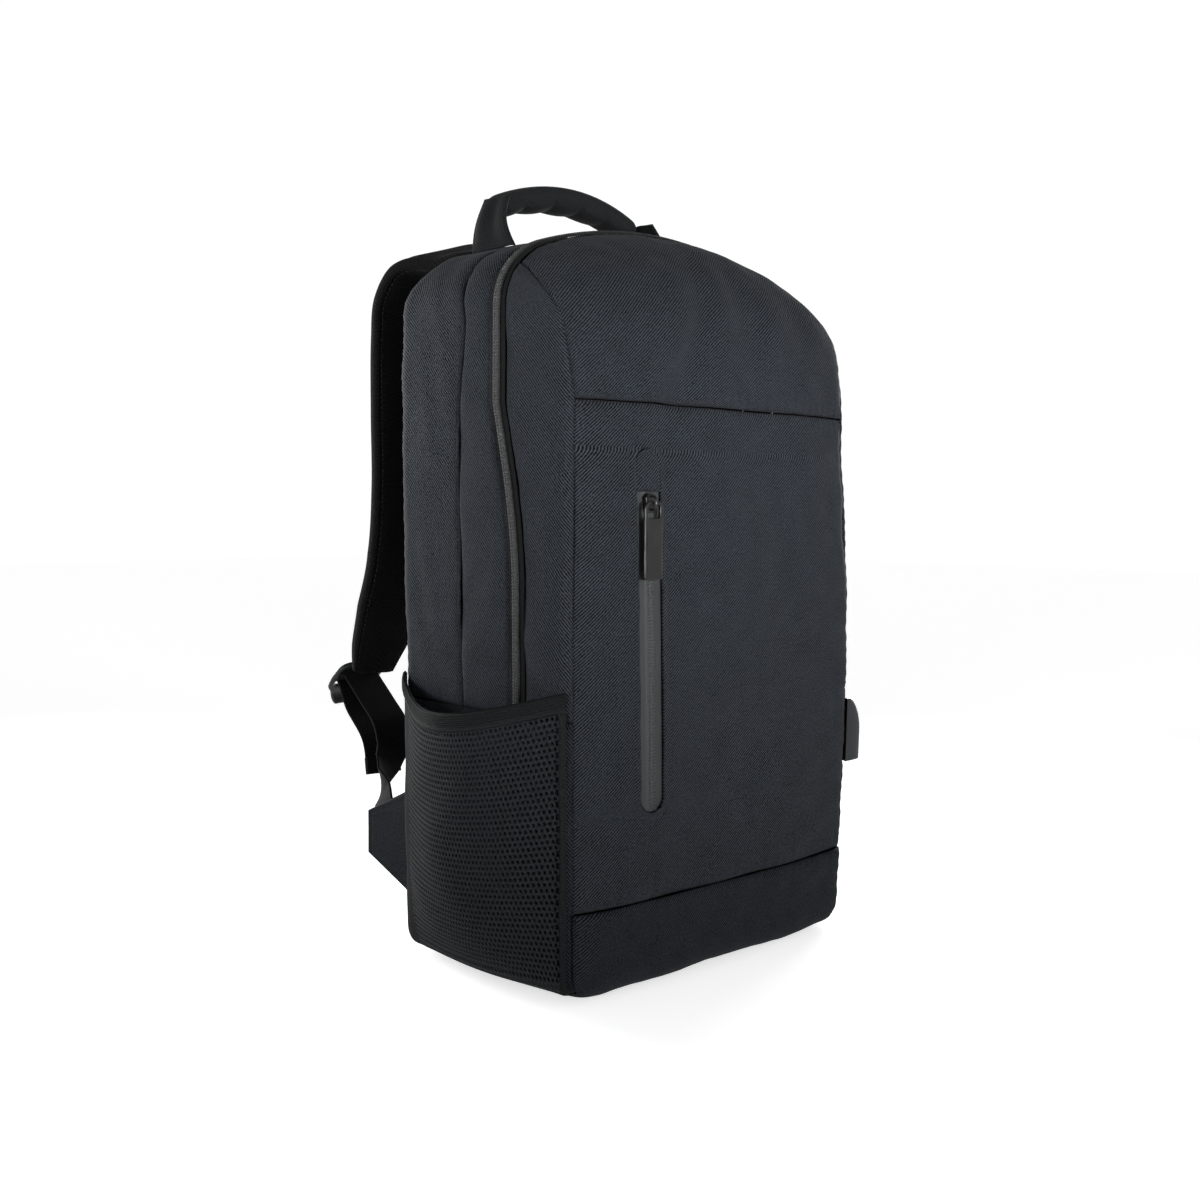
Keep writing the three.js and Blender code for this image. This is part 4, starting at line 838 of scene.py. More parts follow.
def plate_mesh(name, outer, inner, thickness, place, bevel=0.35 * mm):
    """A plate with a window: two flat rings and two walls between its outlines, with round edges.
    place puts its own x, depth and height into the world."""
    count = len(outer)
    rings = []
    for loop, depth in ((outer, -1), (outer, 1), (inner, 1), (inner, -1)):
        rings.append(np.stack([loop[:, 0], np.full(count, depth * thickness / 2), loop[:, 1]], -1))
    p = place(np.concatenate(rings))
    k = np.arange(count)
    following = (k + 1) % count
    faces = []
    for a, b in ((0, 1), (1, 2), (2, 3), (3, 0)):
        corner, across = a * count, b * count
        faces.append(np.stack([corner + k, corner + following, across + following, across + k], -1))
    piece = make_mesh(name, p, np.concatenate(faces))
    edges = piece.modifiers.new("round edges", "BEVEL")
    edges.width = bevel
    edges.segments = 3
    edges.limit_method = "ANGLE"
    return piece


def zip_place(spot, turn):
    """Places a zip's hardware: drawn facing -Y, turned about Z and set at its spot on the tape."""
    cosine, sine = np.cos(turn), np.sin(turn)

    def place(p):
        return np.stack(
            [
                spot[0] + p[:, 0] * cosine - p[:, 1] * sine,
                spot[1] + p[:, 0] * sine + p[:, 1] * cosine,
                spot[2] + p[:, 2],
            ],
            -1,
        )

    return place


def joined(name, *pieces):
    """One object from several, with their modifiers worked into the mesh."""
    graph = bpy.context.evaluated_depsgraph_get()
    vertices, faces, start = [], [], 0
    for piece in pieces:
        mesh = piece.evaluated_get(graph).to_mesh()
        vertices.extend(v.co[:] for v in mesh.vertices)
        faces.extend([start + v for v in polygon.vertices] for polygon in mesh.polygons)
        start += len(mesh.vertices)
    for piece in pieces:
        bpy.data.objects.remove(piece)
    mesh = bpy.data.meshes.new(name)
    mesh.from_pydata(vertices, [], faces)
    shape = bmesh.new()
    shape.from_mesh(mesh)
    bmesh.ops.remove_doubles(shape, verts=shape.verts, dist=0.001 * mm)
    shape.to_mesh(mesh)
    shape.free()
    piece = bpy.data.objects.new(name, mesh)
    bpy.context.scene.collection.objects.link(piece)
    mesh.shade_smooth()
    mesh.set_sharp_from_angle(angle=np.radians(50))
    return piece


def slab(name, loop_at, depths, place):
    """A solid between outlines at several depths, closed by a face at each end."""
    loops = [loop_at(depth) for depth in depths]
    count = len(loops[0])
    p = np.concatenate([np.stack([a[:, 0], np.full(count, -d), a[:, 1]], -1) for a, d in zip(loops, depths)])
    faces = grid_cells(len(depths), count, wrap=True).tolist()
    faces.append(list(range(count))[::-1])
    faces.append(list(range((len(depths) - 1) * count, len(depths) * count)))
    return make_mesh(name, place(p), faces)


def add_slider(name, spot, turn, pull, pull_body):
    """A slider: a waisted block with a pressed rim, an arched bail over it, and the pull, a plate
    with a window that hangs on the bail."""
    place = zip_place(spot, turn)

    def block(depth):
        loop = rounded_loop(9 * mm, -5.5 * mm, 5.5 * mm, 2.2 * mm, 3.4 * mm)
        waist = 1 - 0.16 * np.exp(-(((loop[:, 1] + 1 * mm) / (3 * mm)) ** 2))
        edge = 1 - 0.05 * (2 * depth / (3 * mm) - 1) ** 4
        return np.stack([loop[:, 0] * waist * edge, loop[:, 1] * edge], -1)

    body = slab(name + "_block", block, np.linspace(0, 3 * mm, 7), place)
    turns = np.linspace(0, np.pi, 25)
    arch = np.stack([np.zeros(25), -2.6 * mm - 4.3 * mm * np.sin(turns) ** 0.6, 3.9 * mm * np.cos(turns)], -1)
    run = np.gradient(arch, axis=0)
    run /= np.linalg.norm(run, axis=1, keepdims=True)
    rise = np.cross(run, [1, 0, 0])
    around = np.linspace(0, 2 * np.pi, 12, endpoint=False)
    rings = (
        arch[:, None]
        + np.cos(around)[None, :, None] * np.array([1.15 * mm, 0, 0])
        + np.sin(around)[None, :, None] * rise[:, None] * 0.62 * mm
    )
    cells = grid_cells(25, 12, wrap=True).tolist()
    cells += [list(range(12))[::-1], list(range(24 * 12, 25 * 12))]
    bail = make_mesh(name + "_bail", place(rings.reshape(-1, 3)), cells)
    slider = joined(name + "_slider_and_bail", body, bail)
    dress(slider, lacquer, "zip_metal", name + "_slider")

    wide, long, thick, window, rail = pull
    axis_out, bar = 4.6 * mm, 0.9 * mm
    outer = rounded_loop(wide, -long + bar, bar, 1.2 * mm, min(4.5 * mm, wide * 0.42))
    inner = window_loop(outer, -bar - window / 2, wide / 2 - rail, window / 2)
    hang = lambda p: place(p + np.array([0, -axis_out, 0]))
    tag = plate_mesh(name + "_tag", outer, inner, thick, hang)
    parts = [tag]
    for side in (-1, 1):
        z_low, z_high = -long + bar + 0.09 * long, -bar - window - 0.14 * long
        raised = rounded_loop(wide * 0.74, z_low, z_high, 0.8 * mm, 0.8 * mm)
        depth = thick / 2 - 0.05 * mm
        out = lambda p, side=side: hang(p * np.array([1, side, 1]))
        parts.append(slab(name + "_panel", lambda d: raised, [depth, depth + 0.22 * mm], out))
    pull_plate = joined(name + "_pull_plate", *parts)
    dress(pull_plate, lacquer, "zip_metal", name + "_pull", body=pull_body)


# width, length, thickness, window height and side rail of a pull; where each slider lies on its zip
small_pull = (8 * mm, 26 * mm, 1.6 * mm, 7.5 * mm, 1.7 * mm)
main_slider_seat = (142.323 * mm, -35.5 * mm, 191 * mm)
add_slider("main_zip", main_slider_seat, np.pi / 2, small_pull, "main_pull")

# Front pocket zip
# An upright zip with its coil behind: the coated tape shows between the folded edges of the front,
# two rows of dimples mark the coil's stitching, and a cloth hood shelters the slider at the top.
hood_low = 293 * mm
coated_tone = (0.0162, 0.0181, 0.0186)


def front_at(x, z, sink):
    """A place on the front by its width and height, sunk below the cloth by a distance."""
    side = envelope(share_at_height(z), front_seam_y)[..., 0]
    p = front_point(-x / side, z)
    return p + np.array([0, 1, 0]) * (np.asarray(sink) - 0.54 * mm)[..., None]


def zip_strip(low, high, half, rows, columns, round_low=False, round_high=False):
    """Width, height and distance from the middle line for a strip along the front zip, narrowed at
    its ends by a half circle."""
    v, z = grid(rows, columns, (-1, low), (1, high))
    past = np.zeros_like(z)
    if round_low:
        past = np.maximum(past, low + half - z)
    if round_high:
        past = np.maximum(past, z - high + half)
    width = half * np.sqrt(1 - 0.97 * np.clip(past / half, 0, 1) ** 2)
    return zip_x(z) + width * v, z, width * v


# the coated tape's middle is painted lighter over the coil's raised turns and darker between them: painted
# highlight and shade
coated = chevron_light_and_shade("coated_tape", tuple(c * 0.88 for c in coated_tone), tuple(c * 1.3 for c in coated_tone),
                  3.4 * mm, "Y", slant=0.8)
half_slot = 9.25 * mm
x, z, across = zip_strip(zip_low + 0.4 * mm, hood_low - 0.4 * mm, half_slot - 0.4 * mm, 560, 37, True)
dimple = np.exp(-(((np.abs(across) - 1.5 * mm) / (0.55 * mm)) ** 2))
dimple = dimple * (0.5 + 0.5 * np.cos(2 * np.pi * z / (1.9 * mm))) ** 2
swelled = np.exp(-((across / (3.4 * mm)) ** 4))
sink = 1.1 * mm + 0.6 * mm * dimple - 0.55 * mm * swelled + 0.35 * mm * np.exp(-((across / (0.4 * mm)) ** 2))
tape = sheet_of("front_zip_tape", front_at(x, z, sink), 1 * mm)
dress(tape, coated, "coated_tape", "pocket_zip_tape")

x, z, across = zip_strip(hood_low, zip_high - 0.4 * mm, half_slot - 0.4 * mm, 60, 31, False, True)
rim = np.exp(-(z - hood_low) / (1.2 * mm))
hood_sink = 0.3 * mm - 0.9 * mm * (1 - (across / half_slot) ** 2) - 0.4 * mm * rim
hood = sheet_of("front_zip_hood", front_at(x, z, hood_sink), 1.2 * mm)
dress(hood, pack_cloth, "pack_cloth", "pocket_zip_hood")

front_pull = (15 * mm, 45 * mm, 1.8 * mm, 8 * mm, 2.6 * mm)
pocket_slider_seat = (-71.192 * mm, -84.817 * mm, 286 * mm)
add_slider("pocket_zip", pocket_slider_seat, 0.0, front_pull, "pocket_pull")


def stitch_row(name, path, outward, length=2.6 * mm, gap=0.9 * mm, radius=0.24 * mm):
    """Thread along a path: one small rounded bar for each stitch, lying half in the cloth. Rings of
    six points at four places along each stitch, wider in the middle."""
    run = np.concatenate([[0], np.cumsum(np.linalg.norm(np.diff(path, axis=0), axis=1))])
    centres = np.arange(length, run[-1] - length / 2, length + gap)
    place = lambda values, at: np.stack([np.interp(at, run, values[:, k]) for k in range(3)], -1)
    middle = place(path, centres)
    along = place(path, centres + 0.5 * mm) - place(path, centres - 0.5 * mm)
    along /= np.linalg.norm(along, axis=1, keepdims=True)
    out = place(outward, centres)
    out /= np.linalg.norm(out, axis=1, keepdims=True)
    beside = np.cross(along, out)
    steps = np.array([-0.5, -0.32, 0.32, 0.5]) * length
    size = np.array([0.4, 1, 1, 0.4]) * radius
    turn = np.linspace(0, 2 * np.pi, 6, endpoint=False)
    p = (
        middle[:, None, None]
        + along[:, None, None] * steps[None, :, None, None]
        + beside[:, None, None] * (np.cos(turn)[None, None, :, None] * size[None, :, None, None])
        + out[:, None, None] * (np.sin(turn)[None, None, :, None] * size[None, :, None, None] * 0.8)
    )
    end_faces = [[0, 5, 4, 3], [3, 2, 1, 0], [18, 19, 20, 21], [21, 22, 23, 18]]
    one = np.concatenate([grid_cells(4, 6, wrap=True), end_faces])
    faces = (one[None] + 24 * np.arange(len(centres))[:, None, None]).reshape(-1, 4)
    return make_mesh(name, p, faces)


thread = woven("thread", (0.0115, 0.0125, 0.014), 0.5)
around = rounded_loop(2 * (half_slot + 5 * mm), zip_low - 5 * mm, zip_high + 5 * mm, 14 * mm, 14 * mm, 16)
around = np.concatenate([around, around[:1]])
x, z = around[:, 0] + zip_x(around[:, 1]), around[:, 1]
path, out = laid_on(front_at(x, z, np.zeros_like(x)), front_grid, 0.1 * mm)
dress(stitch_row("front_zip_stitches", path, out), thread, "pack_cloth")

# Short zip on the right
# The same coated tape in a slot of the right side strip, with a small slider and pull.
share_low, share_high = share_at_height(np.array([side_slot_low + 0.4 * mm, side_slot_high - 0.4 * mm]))
share, depth = grid(27, 420, (share_low, side_slot_front + 0.4 * mm), (share_high, side_slot_back - 0.4 * mm))
p = filled(envelope(share, depth) * on_side["right"])
across = depth - (side_slot_front + side_slot_back) / 2
dimple = np.exp(-(((np.abs(across) - 1.4 * mm) / (0.55 * mm)) ** 2))
dimple = dimple * (0.5 + 0.5 * np.cos(2 * np.pi * p[..., 2] / (1.9 * mm))) ** 2
sink = 1.1 * mm + 0.5 * mm * dimple - 0.45 * mm * np.exp(-((across / (2.6 * mm)) ** 4))
tape = sheet_of("side_zip_coated_tape", p - face_normals(p) * sink[..., None], 1 * mm)
dress(tape, coated, "coated_tape", "side_zip_tape")
side_slider_seat = (136.529 * mm, -64.5 * mm, 242 * mm)
add_slider("side_zip", side_slider_seat, np.pi / 2, small_pull, "side_pull")

# Seam stitches
# A row of topstitching holds each field's edge down: along the yoke on both sides of its seam,
# beside the main zip, and along the seam between the two rear strips.


def row_beside(cloth, distance, from_end=False):
    """A path on a grid of cloth, a distance in from its first or its last row."""
    turned = cloth[::-1] if from_end else cloth
    run = runs(turned)[1]
    k = np.argmax(run > distance, 0)
    columns = np.arange(cloth.shape[1])
    low, high = run[k - 1, columns], run[k, columns]
    part = ((distance - low) / (high - low))[:, None]
    return mix(turned[k - 1, columns], turned[k, columns], part)


seam_rows = [
    ("yoke_zip_stitches", yoke, 5.5 * mm, True),
    ("yoke_seam_stitches", yoke, 2.6 * mm, False),
    ("middle_strip_stitches", middle, 2.6 * mm, False),
    ("rear_seam_stitches", rear, 2.6 * mm, False),
    ("rear_edge_stitches", rear, 2.6 * mm, True),
]
for name, cloth, distance, from_end in seam_rows:
    path = row_beside(cloth, distance, from_end)
    path, out = laid_on(path[3:-3], cloth, 0.08 * mm)
    dress(stitch_row(name, path, out), thread, "pack_cloth")

# Bottle pocket
# A pocket of stretch netting on the left side. It is sewn in at its sides and its foot, stands off
# the bag in between, and has dense knit borders and a ribbed elastic mouth.
pocket_bulge, pocket_inset = 25 * mm, 3 * mm
pocket_low, pocket_full, pocket_mouth, pocket_dip = 7 * mm, 62 * mm, 179 * mm, 17 * mm
binding_height = 10 * mm
border_start = 0.88
net_tone, border_tone = (0.0082, 0.0092, 0.0104), (0.005, 0.0055, 0.006)


def envelope_normals(share, y):
    """Outward unit normals of the body form on its left side: the cross product of two short steps
    on it."""
    step = 2e-4
    up = envelope(share + step, y) - envelope(share - step, y)
    back = envelope(share, y + step) - envelope(share, y - step)
    normal = np.cross(back, up)
    normal *= np.sign(np.sum(normal * outline(share)[2][..., None] * np.array([1, 0, 0])))
    return normal / np.linalg.norm(normal, axis=-1, keepdims=True)


def pocket_point(u, z, lift):
    """A place on the pocket: the body form moved out by a sine over its depth times a quarter sine
    over its height."""
    y = mix(front_seam_y + pocket_inset, back_seam_y - pocket_inset, u)
    share = share_at_height(z)
    lean = np.sin(np.pi * np.clip(u, 0, 1) ** 0.92)
    up = np.sin(np.pi / 2 * np.clip((z - pocket_low) / (pocket_full - pocket_low), 0, 1))
    bulge = pocket_bulge * lean**1.1 * up**0.6
    return filled(envelope(share, y) + envelope_normals(share, y) * (lift + bulge)[..., None])


def mouth_at(u):
    """Height of the mouth: it dips between its side seams by a sine, lowest towards the back."""
    return pocket_mouth - pocket_dip * np.sin(np.pi * (1 - (1 - np.clip(u, 0, 1)) ** 0.8))


def net_place(a, b, lift=1.2 * mm):
    """A place on the netting by its shares across and up, with the cloth's slight unevenness."""
    low, high = pocket_low, mouth_at(a) - binding_height - 0.4 * mm
    uneven = 0.5 * mm * np.sin(17 * a + 2.1 * np.sin(9 * b)) * np.sin(np.pi * b)
    return pocket_point(a, mix(low, high, b), lift + uneven)


def netting(name, across, up, hole, thickness):
    """Netting: staggered brick-shaped cells, each a ring of ten corners on its border round ten on
    a slanting oval hole. Cells share their borders' corners."""
    j, i = np.meshgrid(np.arange(up), np.arange(across), indexing="ij")
    shift = (j % 2) * 0.5
    border = np.array([(0, 0), (0.5, 0), (1, 0), (1, 1), (1, 2), (1, 3), (0.5, 3), (0, 3), (0, 2), (0, 1)])
    cell_a = (i + shift)[..., None] + border[:, 0]
    cell_b = j[..., None] + border[:, 1] / 3
    turn = np.arctan2(border[:, 1] / 3 - 0.5, border[:, 0] - 0.5)
    ring_b = 0.5 + hole[1] * np.sin(turn)
    ring_a = 0.5 + hole[0] * np.cos(turn) + hole[2] * (ring_b - 0.5)
    hole_a = (i + shift)[..., None] + ring_a
    hole_b = j[..., None] + ring_b
    a = np.concatenate([cell_a, hole_a], -1).reshape(-1) / (across + 0.5)
    b = np.concatenate([cell_b, hole_b], -1).reshape(-1) / up
    key = np.round(np.stack([a, b], -1) * 1e5).astype(np.int64)
    _, first, index = np.unique(key, axis=0, return_index=True, return_inverse=True)
    index = index.reshape(-1, 20)
    k = np.arange(10)
    quads = np.stack([k, (k + 1) % 10, (k + 1) % 10 + 10, k + 10], -1)
    faces = index[:, quads].reshape(-1, 4)
    p = net_place(mix(0.02, border_start, a[first]), b[first])
    one = p[faces[:, 1]] - p[faces[:, 0]]
    two = p[faces[:, 3]] - p[faces[:, 0]]
    if np.sum(np.cross(one, two)[:, 0]) > 0:
        faces = faces[:, ::-1]
    uv = np.stack([a[first] * 0.17, b[first] * 0.16], -1)
    piece = make_mesh(name, p, faces, uv[faces.ravel()])
    wall = piece.modifiers.new("wall", "SOLIDIFY")
    wall.thickness = thickness
    wall.offset = 0
    return piece


net_yarn = woven("net_yarn", net_tone, 0.5, spread=0.5)
border_knit = woven("border_knit", border_tone, 0.9, spread=0.5)
net = netting("pocket_netting", 46, 46, (0.31, 0.36, 0.22), 0.8 * mm)
dress(net, net_yarn, "pocket_net", "pocket_net")
borders = {
    "front": (150, 6, (0, 0), (0.02, 1)),
    "back": (150, 26, (border_start, 0), (1, 1)),
    "low": (12, 150, (0.02, 0), (border_start, 0.05)),
}
for name, (rows, columns, start, end) in borders.items():
    a, b = grid(rows, columns, start, end)
    ribs = 0.25 * mm * np.sin(2 * np.pi * a / 0.012)
    p = net_place(a, b, 1.3 * mm + ribs)
    dress(sheet_of("pocket_border_" + name, p, 1.2 * mm), border_knit, "pocket_net")

a, b = grid(56, 260, (0, 0), (1, 1))
folded_over = 1.1 * mm * np.sqrt(np.clip(1 - (2 * b - 1) ** 8, 0, 1))
rib_wave = 0.55 * mm * np.cos(2 * np.pi * np.clip((b - 0.3) / 0.64, 0, 1) * 5) * ((b > 0.3) & (b < 0.94))
stitched = 0.5 * mm * np.exp(-(((b - 0.26) / 0.04) ** 2))
p = pocket_point(a, mouth_at(a) - binding_height * (1 - b), 1.5 * mm + folded_over + rib_wave - stitched)
binding = sheet_of("pocket_mouth_elastic", p, 2.0 * mm)
dress(binding, border_knit, "elastic_binding", "pocket_binding")

# Carry handle
# A padded grip over the top, gathered where the cloth wraps its foam, and a flat cloth leg at each
# end that spreads forward to its foot on the bag.
handle_line, handle_half = back_y - 17 * mm, 127 * mm / 2
grip_width, grip_depth, grip_rise, grip_end_above = 26 * mm, 18 * mm, 13 * mm, 21 * mm
grip_tone, leg_tone = (0.006, 0.0064, 0.007), (0.0046, 0.0049, 0.0053)
grip_cloth = twill("grip_cloth", grip_tone, spread=0.6)
leg_cloth = twill("leg_cloth", leg_tone, spread=0.6)


def tube_of(name, rings, uv_scale=1.0):
    """A closed piece from rings of points along a path, with a face over each end; UV from the
    distance round and along."""
    count, sides = rings.shape[:2]
    faces = grid_cells(count, sides, wrap=True)
    wrapped = np.concatenate([rings, rings[:, :1]], 1)
    around = runs(wrapped)[0]
    along = runs(rings)[1]
    j, k = np.divmod(faces, sides)
    seam = (k == 0) & (np.roll(k, 1, axis=1) == sides - 1) | (k == 0) & (np.roll(k, -1, axis=1) == sides - 1)
    u = np.where(seam, around[j, -1], around[j, k])
    v = along[j, np.clip(k, 0, sides - 1)]
    uv = np.stack([u, v], -1).reshape(-1, 2) * uv_scale
    ends = [list(range(sides))[::-1], list(range((count - 1) * sides, count * sides))]
    mesh_faces = faces.tolist() + ends
    extra = np.zeros((2 * sides, 2))
    return make_mesh(name, rings, mesh_faces, np.concatenate([uv, extra]))


def oval(sides, squareness):
    """Directions round a section: cosine and sine, each drawn towards a rectangle by a power."""
    turn = 2 * np.pi * (np.arange(sides) + 0.5) / sides
    cosine, sine = np.cos(turn), np.sin(turn)
    return np.sign(cosine) * np.abs(cosine) ** squareness, np.sign(sine) * np.abs(sine) ** squareness


share = np.concatenate([[0.0, 0.004, 0.012], np.linspace(0.025, 0.975, 150), [0.988, 0.996, 1.0]])
x = mix(-handle_half, handle_half, share)
grip_height = body_height + grip_end_above + grip_rise * (1 - (x / handle_half) ** 2)
centre = np.stack([x, np.full_like(x, handle_line), grip_height], -1)
closing = np.sqrt(np.clip(1 - np.clip(np.abs(2 * share - 1) - 0.9, 0, 1) ** 2 / 0.012, 0.06, 1))
full = (0.8 + 0.2 * np.sin(np.pi * share) ** 0.5) * closing
across, rise = oval(56, 0.8)
low_face = np.clip(-rise + 0.35 * (-across), 0, 1)
gather = np.abs(np.sin(np.pi * (share * 5.2 + 0.1)))[:, None] ** 0.8 * low_face[None]
swell = 1 - 0.22 * (1 - gather) * low_face[None]
rings = (
    centre[:, None]
    + np.array([0, 1, 0]) * (across[None] * full[:, None] * swell * grip_width / 2)[..., None]
    + np.array([0, 0, 1]) * (rise[None] * full[:, None] * swell * grip_depth / 2)[..., None]
)
grip = tube_of("handle_grip_padded", rings)
dress(grip, grip_cloth, "pack_cloth", "handle_grip")

leg_foot = {"left": 77 * mm, "right": 64 * mm}
leg_front, leg_back = 38 * mm, 5 * mm
leg_top_width, leg_top_forward, leg_thickness, leg_bow = 25 * mm, 8 * mm, 2.4 * mm, 4 * mm


def share_on_top(x):
    """Share of the outline where the arched top has a width x from the middle."""
    return 0.5 + arch_radius * np.arcsin(x / arch_radius) / outline_length


def leg_point(u, v, foot_out):
    """A place on a leg, drawn on the left: straight from its foot on the body to its head beside
    the grip, bowed outwards by a sine, with two soft folds that run up it."""
    foot_y = handle_line + mix(-leg_front, leg_back, u)
    foot = envelope(np.full_like(u, share_on_top(-foot_out)), foot_y)
    foot = foot + np.array([-0.2, 0, 0.98]) * 0.8 * mm
    head = np.stack(
        [
            np.full_like(u, -handle_half - 0.4 * mm - leg_thickness),
            handle_line - leg_top_forward + mix(-leg_top_width / 2, leg_top_width / 2, u),
            np.full_like(u, body_height + grip_end_above + grip_depth / 3),
        ],
        -1,
    )
    p = mix(foot, head, v[..., None])
    fold = 0.9 * mm * np.cos(2 * np.pi * (1.6 * u - 0.2)) * np.sin(np.pi * v) ** 0.7
    return p - np.array([1, 0, 0]) * (leg_bow * np.sin(np.pi * v) + fold)[..., None]


u, v = grid(44, 40)
for side, mirror in on_side.items():
    p = leg_point(u, v, leg_foot[side]) * mirror
    edge = np.minimum(np.minimum(u, 1 - u) * 40, 1 - v + 2)
    p = p - face_normals(p) * (0.8 * mm * np.exp(-edge / 1.6))[..., None]
    leg = sheet_of("handle_leg_cloth_" + side, p, 2.2 * mm)
    dress(leg, leg_cloth, "pack_cloth", "handle_leg_" + side)
    for at in (0.09, 0.91):
        line_v = np.linspace(0.04, 0.96, 80)
        path, out = laid_on(leg_point(np.full(80, at), line_v, leg_foot[side]) * mirror, p, 0.1 * mm)
        dress(stitch_row(f"handle_leg_stitches_{side}_{at:.2f}", path, out), thread, "pack_cloth")

# Shoulder straps
# Padded straps of black spacer mesh over foam. Each is sewn into the top beside the handle, rolls
# over the shoulder, hangs down behind the back and narrows to the end that holds its adjuster.
strap_stand_off, strap_half, strap_thick = 50 * mm, 31 * mm, 11 * mm
strap_tilt, strap_seat_inset = np.radians(18), 3.5 * mm
strap_tone = (0.0026, 0.0026, 0.0028)
# height, half width and stand-off as shares of the body's; then shares of the strap's half width,
# thickness and tilt
strap_table = np.array(
    [
        (0.95, 0.45, 0, 0.84, 0.3, 0.55),
        (0.967, 0.452, 0.15, 0.86, 0.5, 0.6),
        (0.988, 0.46, 0.34, 0.92, 0.85, 0.9),
        (0.991, 0.48, 0.68, 0.97, 1, 1),
        (0.972, 0.51, 1, 1, 1, 0.8),
        (0.928, 0.535, 1.2, 1, 1, 0.4),
        (0.868, 0.555, 1.2, 1, 1, 0),
        (0.757, 0.585, 1.1, 1, 1, 0),
        (0.646, 0.61, 1, 1, 1, 0),
        (0.546, 0.64, 1.02, 0.98, 1, 0),
        (0.468, 0.685, 1.2, 0.87, 1, 0),
        (0.413, 0.71, 1.38, 0.7, 0.9, 0),
        (0.372, 0.72, 1.5, 0.52, 0.55, 0),
    ]
)


def behind(up, side, out):
    """A place behind the back, from shares of the body's height, half width and stand-off."""
    return np.stack([-side * half_width, back_y + out * strap_stand_off, up * body_height], -1)


def smooth_path(points, share):
    """Places on a centripetal Catmull-Rom curve through the points: each piece is a cubic whose
    slopes at its ends come from its neighbours, over steps of the fourth root of squared lengths."""
    padded = np.concatenate([[2 * points[0] - points[1]], points, [2 * points[-1] - points[-2]]])
    at = np.clip(share, 0, 1) * (len(points) - 1)
    k = np.minimum(at.astype(int), len(points) - 2)
    t = (at - k)[:, None]
    a, b, c, d = padded[k], padded[k + 1], padded[k + 2], padded[k + 3]
    step = lambda one, two: np.maximum(np.sum((one - two) ** 2, -1, keepdims=True) ** 0.25, 1e-6)
    before, here, after = step(a, b), step(b, c), step(c, d)
    first = ((b - a) / before - (c - a) / (before + here) + (c - b) / here) * here
    second = ((c - b) / here - (d - b) / (here + after) + (d - c) / after) * here
    square = -3 * b + 3 * c - 2 * first - second
    cube = 2 * b - 2 * c + first + second
    return b + first * t + square * t**2 + cube * t**3


def frame_along(path, across):
    """Unit directions across and out of a strip: out is the path's direction crossed with the wanted
    across, and across is out crossed with the direction."""
    along = np.gradient(path, axis=0)
    along /= np.linalg.norm(along, axis=-1, keepdims=True)
    out = np.cross(along, across)
    out /= np.linalg.norm(out, axis=-1, keepdims=True)
    return np.cross(out, along), out


def strap_start(distance):
    """Where a strap leaves the top, at a distance square to the body."""
    seat = share_on_top(-strap_table[0, 1] * half_width)
    depth = back_seam_y - strap_seat_inset
    place = envelope(seat, depth)
    step = 1e-4
    normal = np.cross(envelope(seat, depth + step) - place, envelope(seat + step, depth) - place)
    normal *= np.sign(normal[2])
    return place + normal / np.linalg.norm(normal) * distance


strap_points = behind(strap_table[:, 0], strap_table[:, 1], strap_table[:, 2])
strap_points[0] = strap_start(0.7 * mm)
strap_points[1] = strap_start(strap_thick)
strap_share = np.concatenate([[0, 0.0006, 0.0015], np.linspace(0.003, 0.997, 330), [0.9985, 0.9994, 1]])
strap_path = smooth_path(strap_points, strap_share)
table_steps = np.linspace(0, 1, len(strap_table))
wide, thick, tilt = [np.interp(strap_share, table_steps, strap_table[:, k]) for k in (3, 4, 5)]
wanted = np.stack([np.cos(strap_tilt * tilt), 0 * tilt, np.sin(strap_tilt * tilt)], -1)
strap_across, strap_out = frame_along(strap_path, wanted)


def spacer_mesh(name, tone):
    """Spacer mesh: staggered round cells, deeper in their middles and painted darker there as painted shade
    in the hollows.
    """
    finish = {"Sheen Weight": 0.01, "Sheen Roughness": 0.5, "Specular IOR Level": 0.05}
    material, nodes, links, shader = new_material(name, 0.85, finish)
    place = scaled_place(nodes, links, "UV", (1000, 1000, 1000), np.radians(45))
    one = bands(nodes, links, place, 1.7, "X", 0.2)
    two = bands(nodes, links, place, 1.7, "Y", 0.2)
    cells = maths(nodes, links, "MULTIPLY", one, two)
    yarn = noise(nodes, links, place, 1.6, 3)
    blend = maths(nodes, links, "MULTIPLY_ADD", yarn, 0.5)
    links.new(maths(nodes, links, "MULTIPLY", cells, 0.5), blend.node.inputs[2])
    # darker where the cells sink: painted shade in the hollows
    tones(nodes, links, blend, tuple(c * 0.6 for c in tone), tuple(c * 1.5 for c in tone), shader)
    relief(nodes, links, cells, 0.5 * mm, 0.7, shader)
    return material


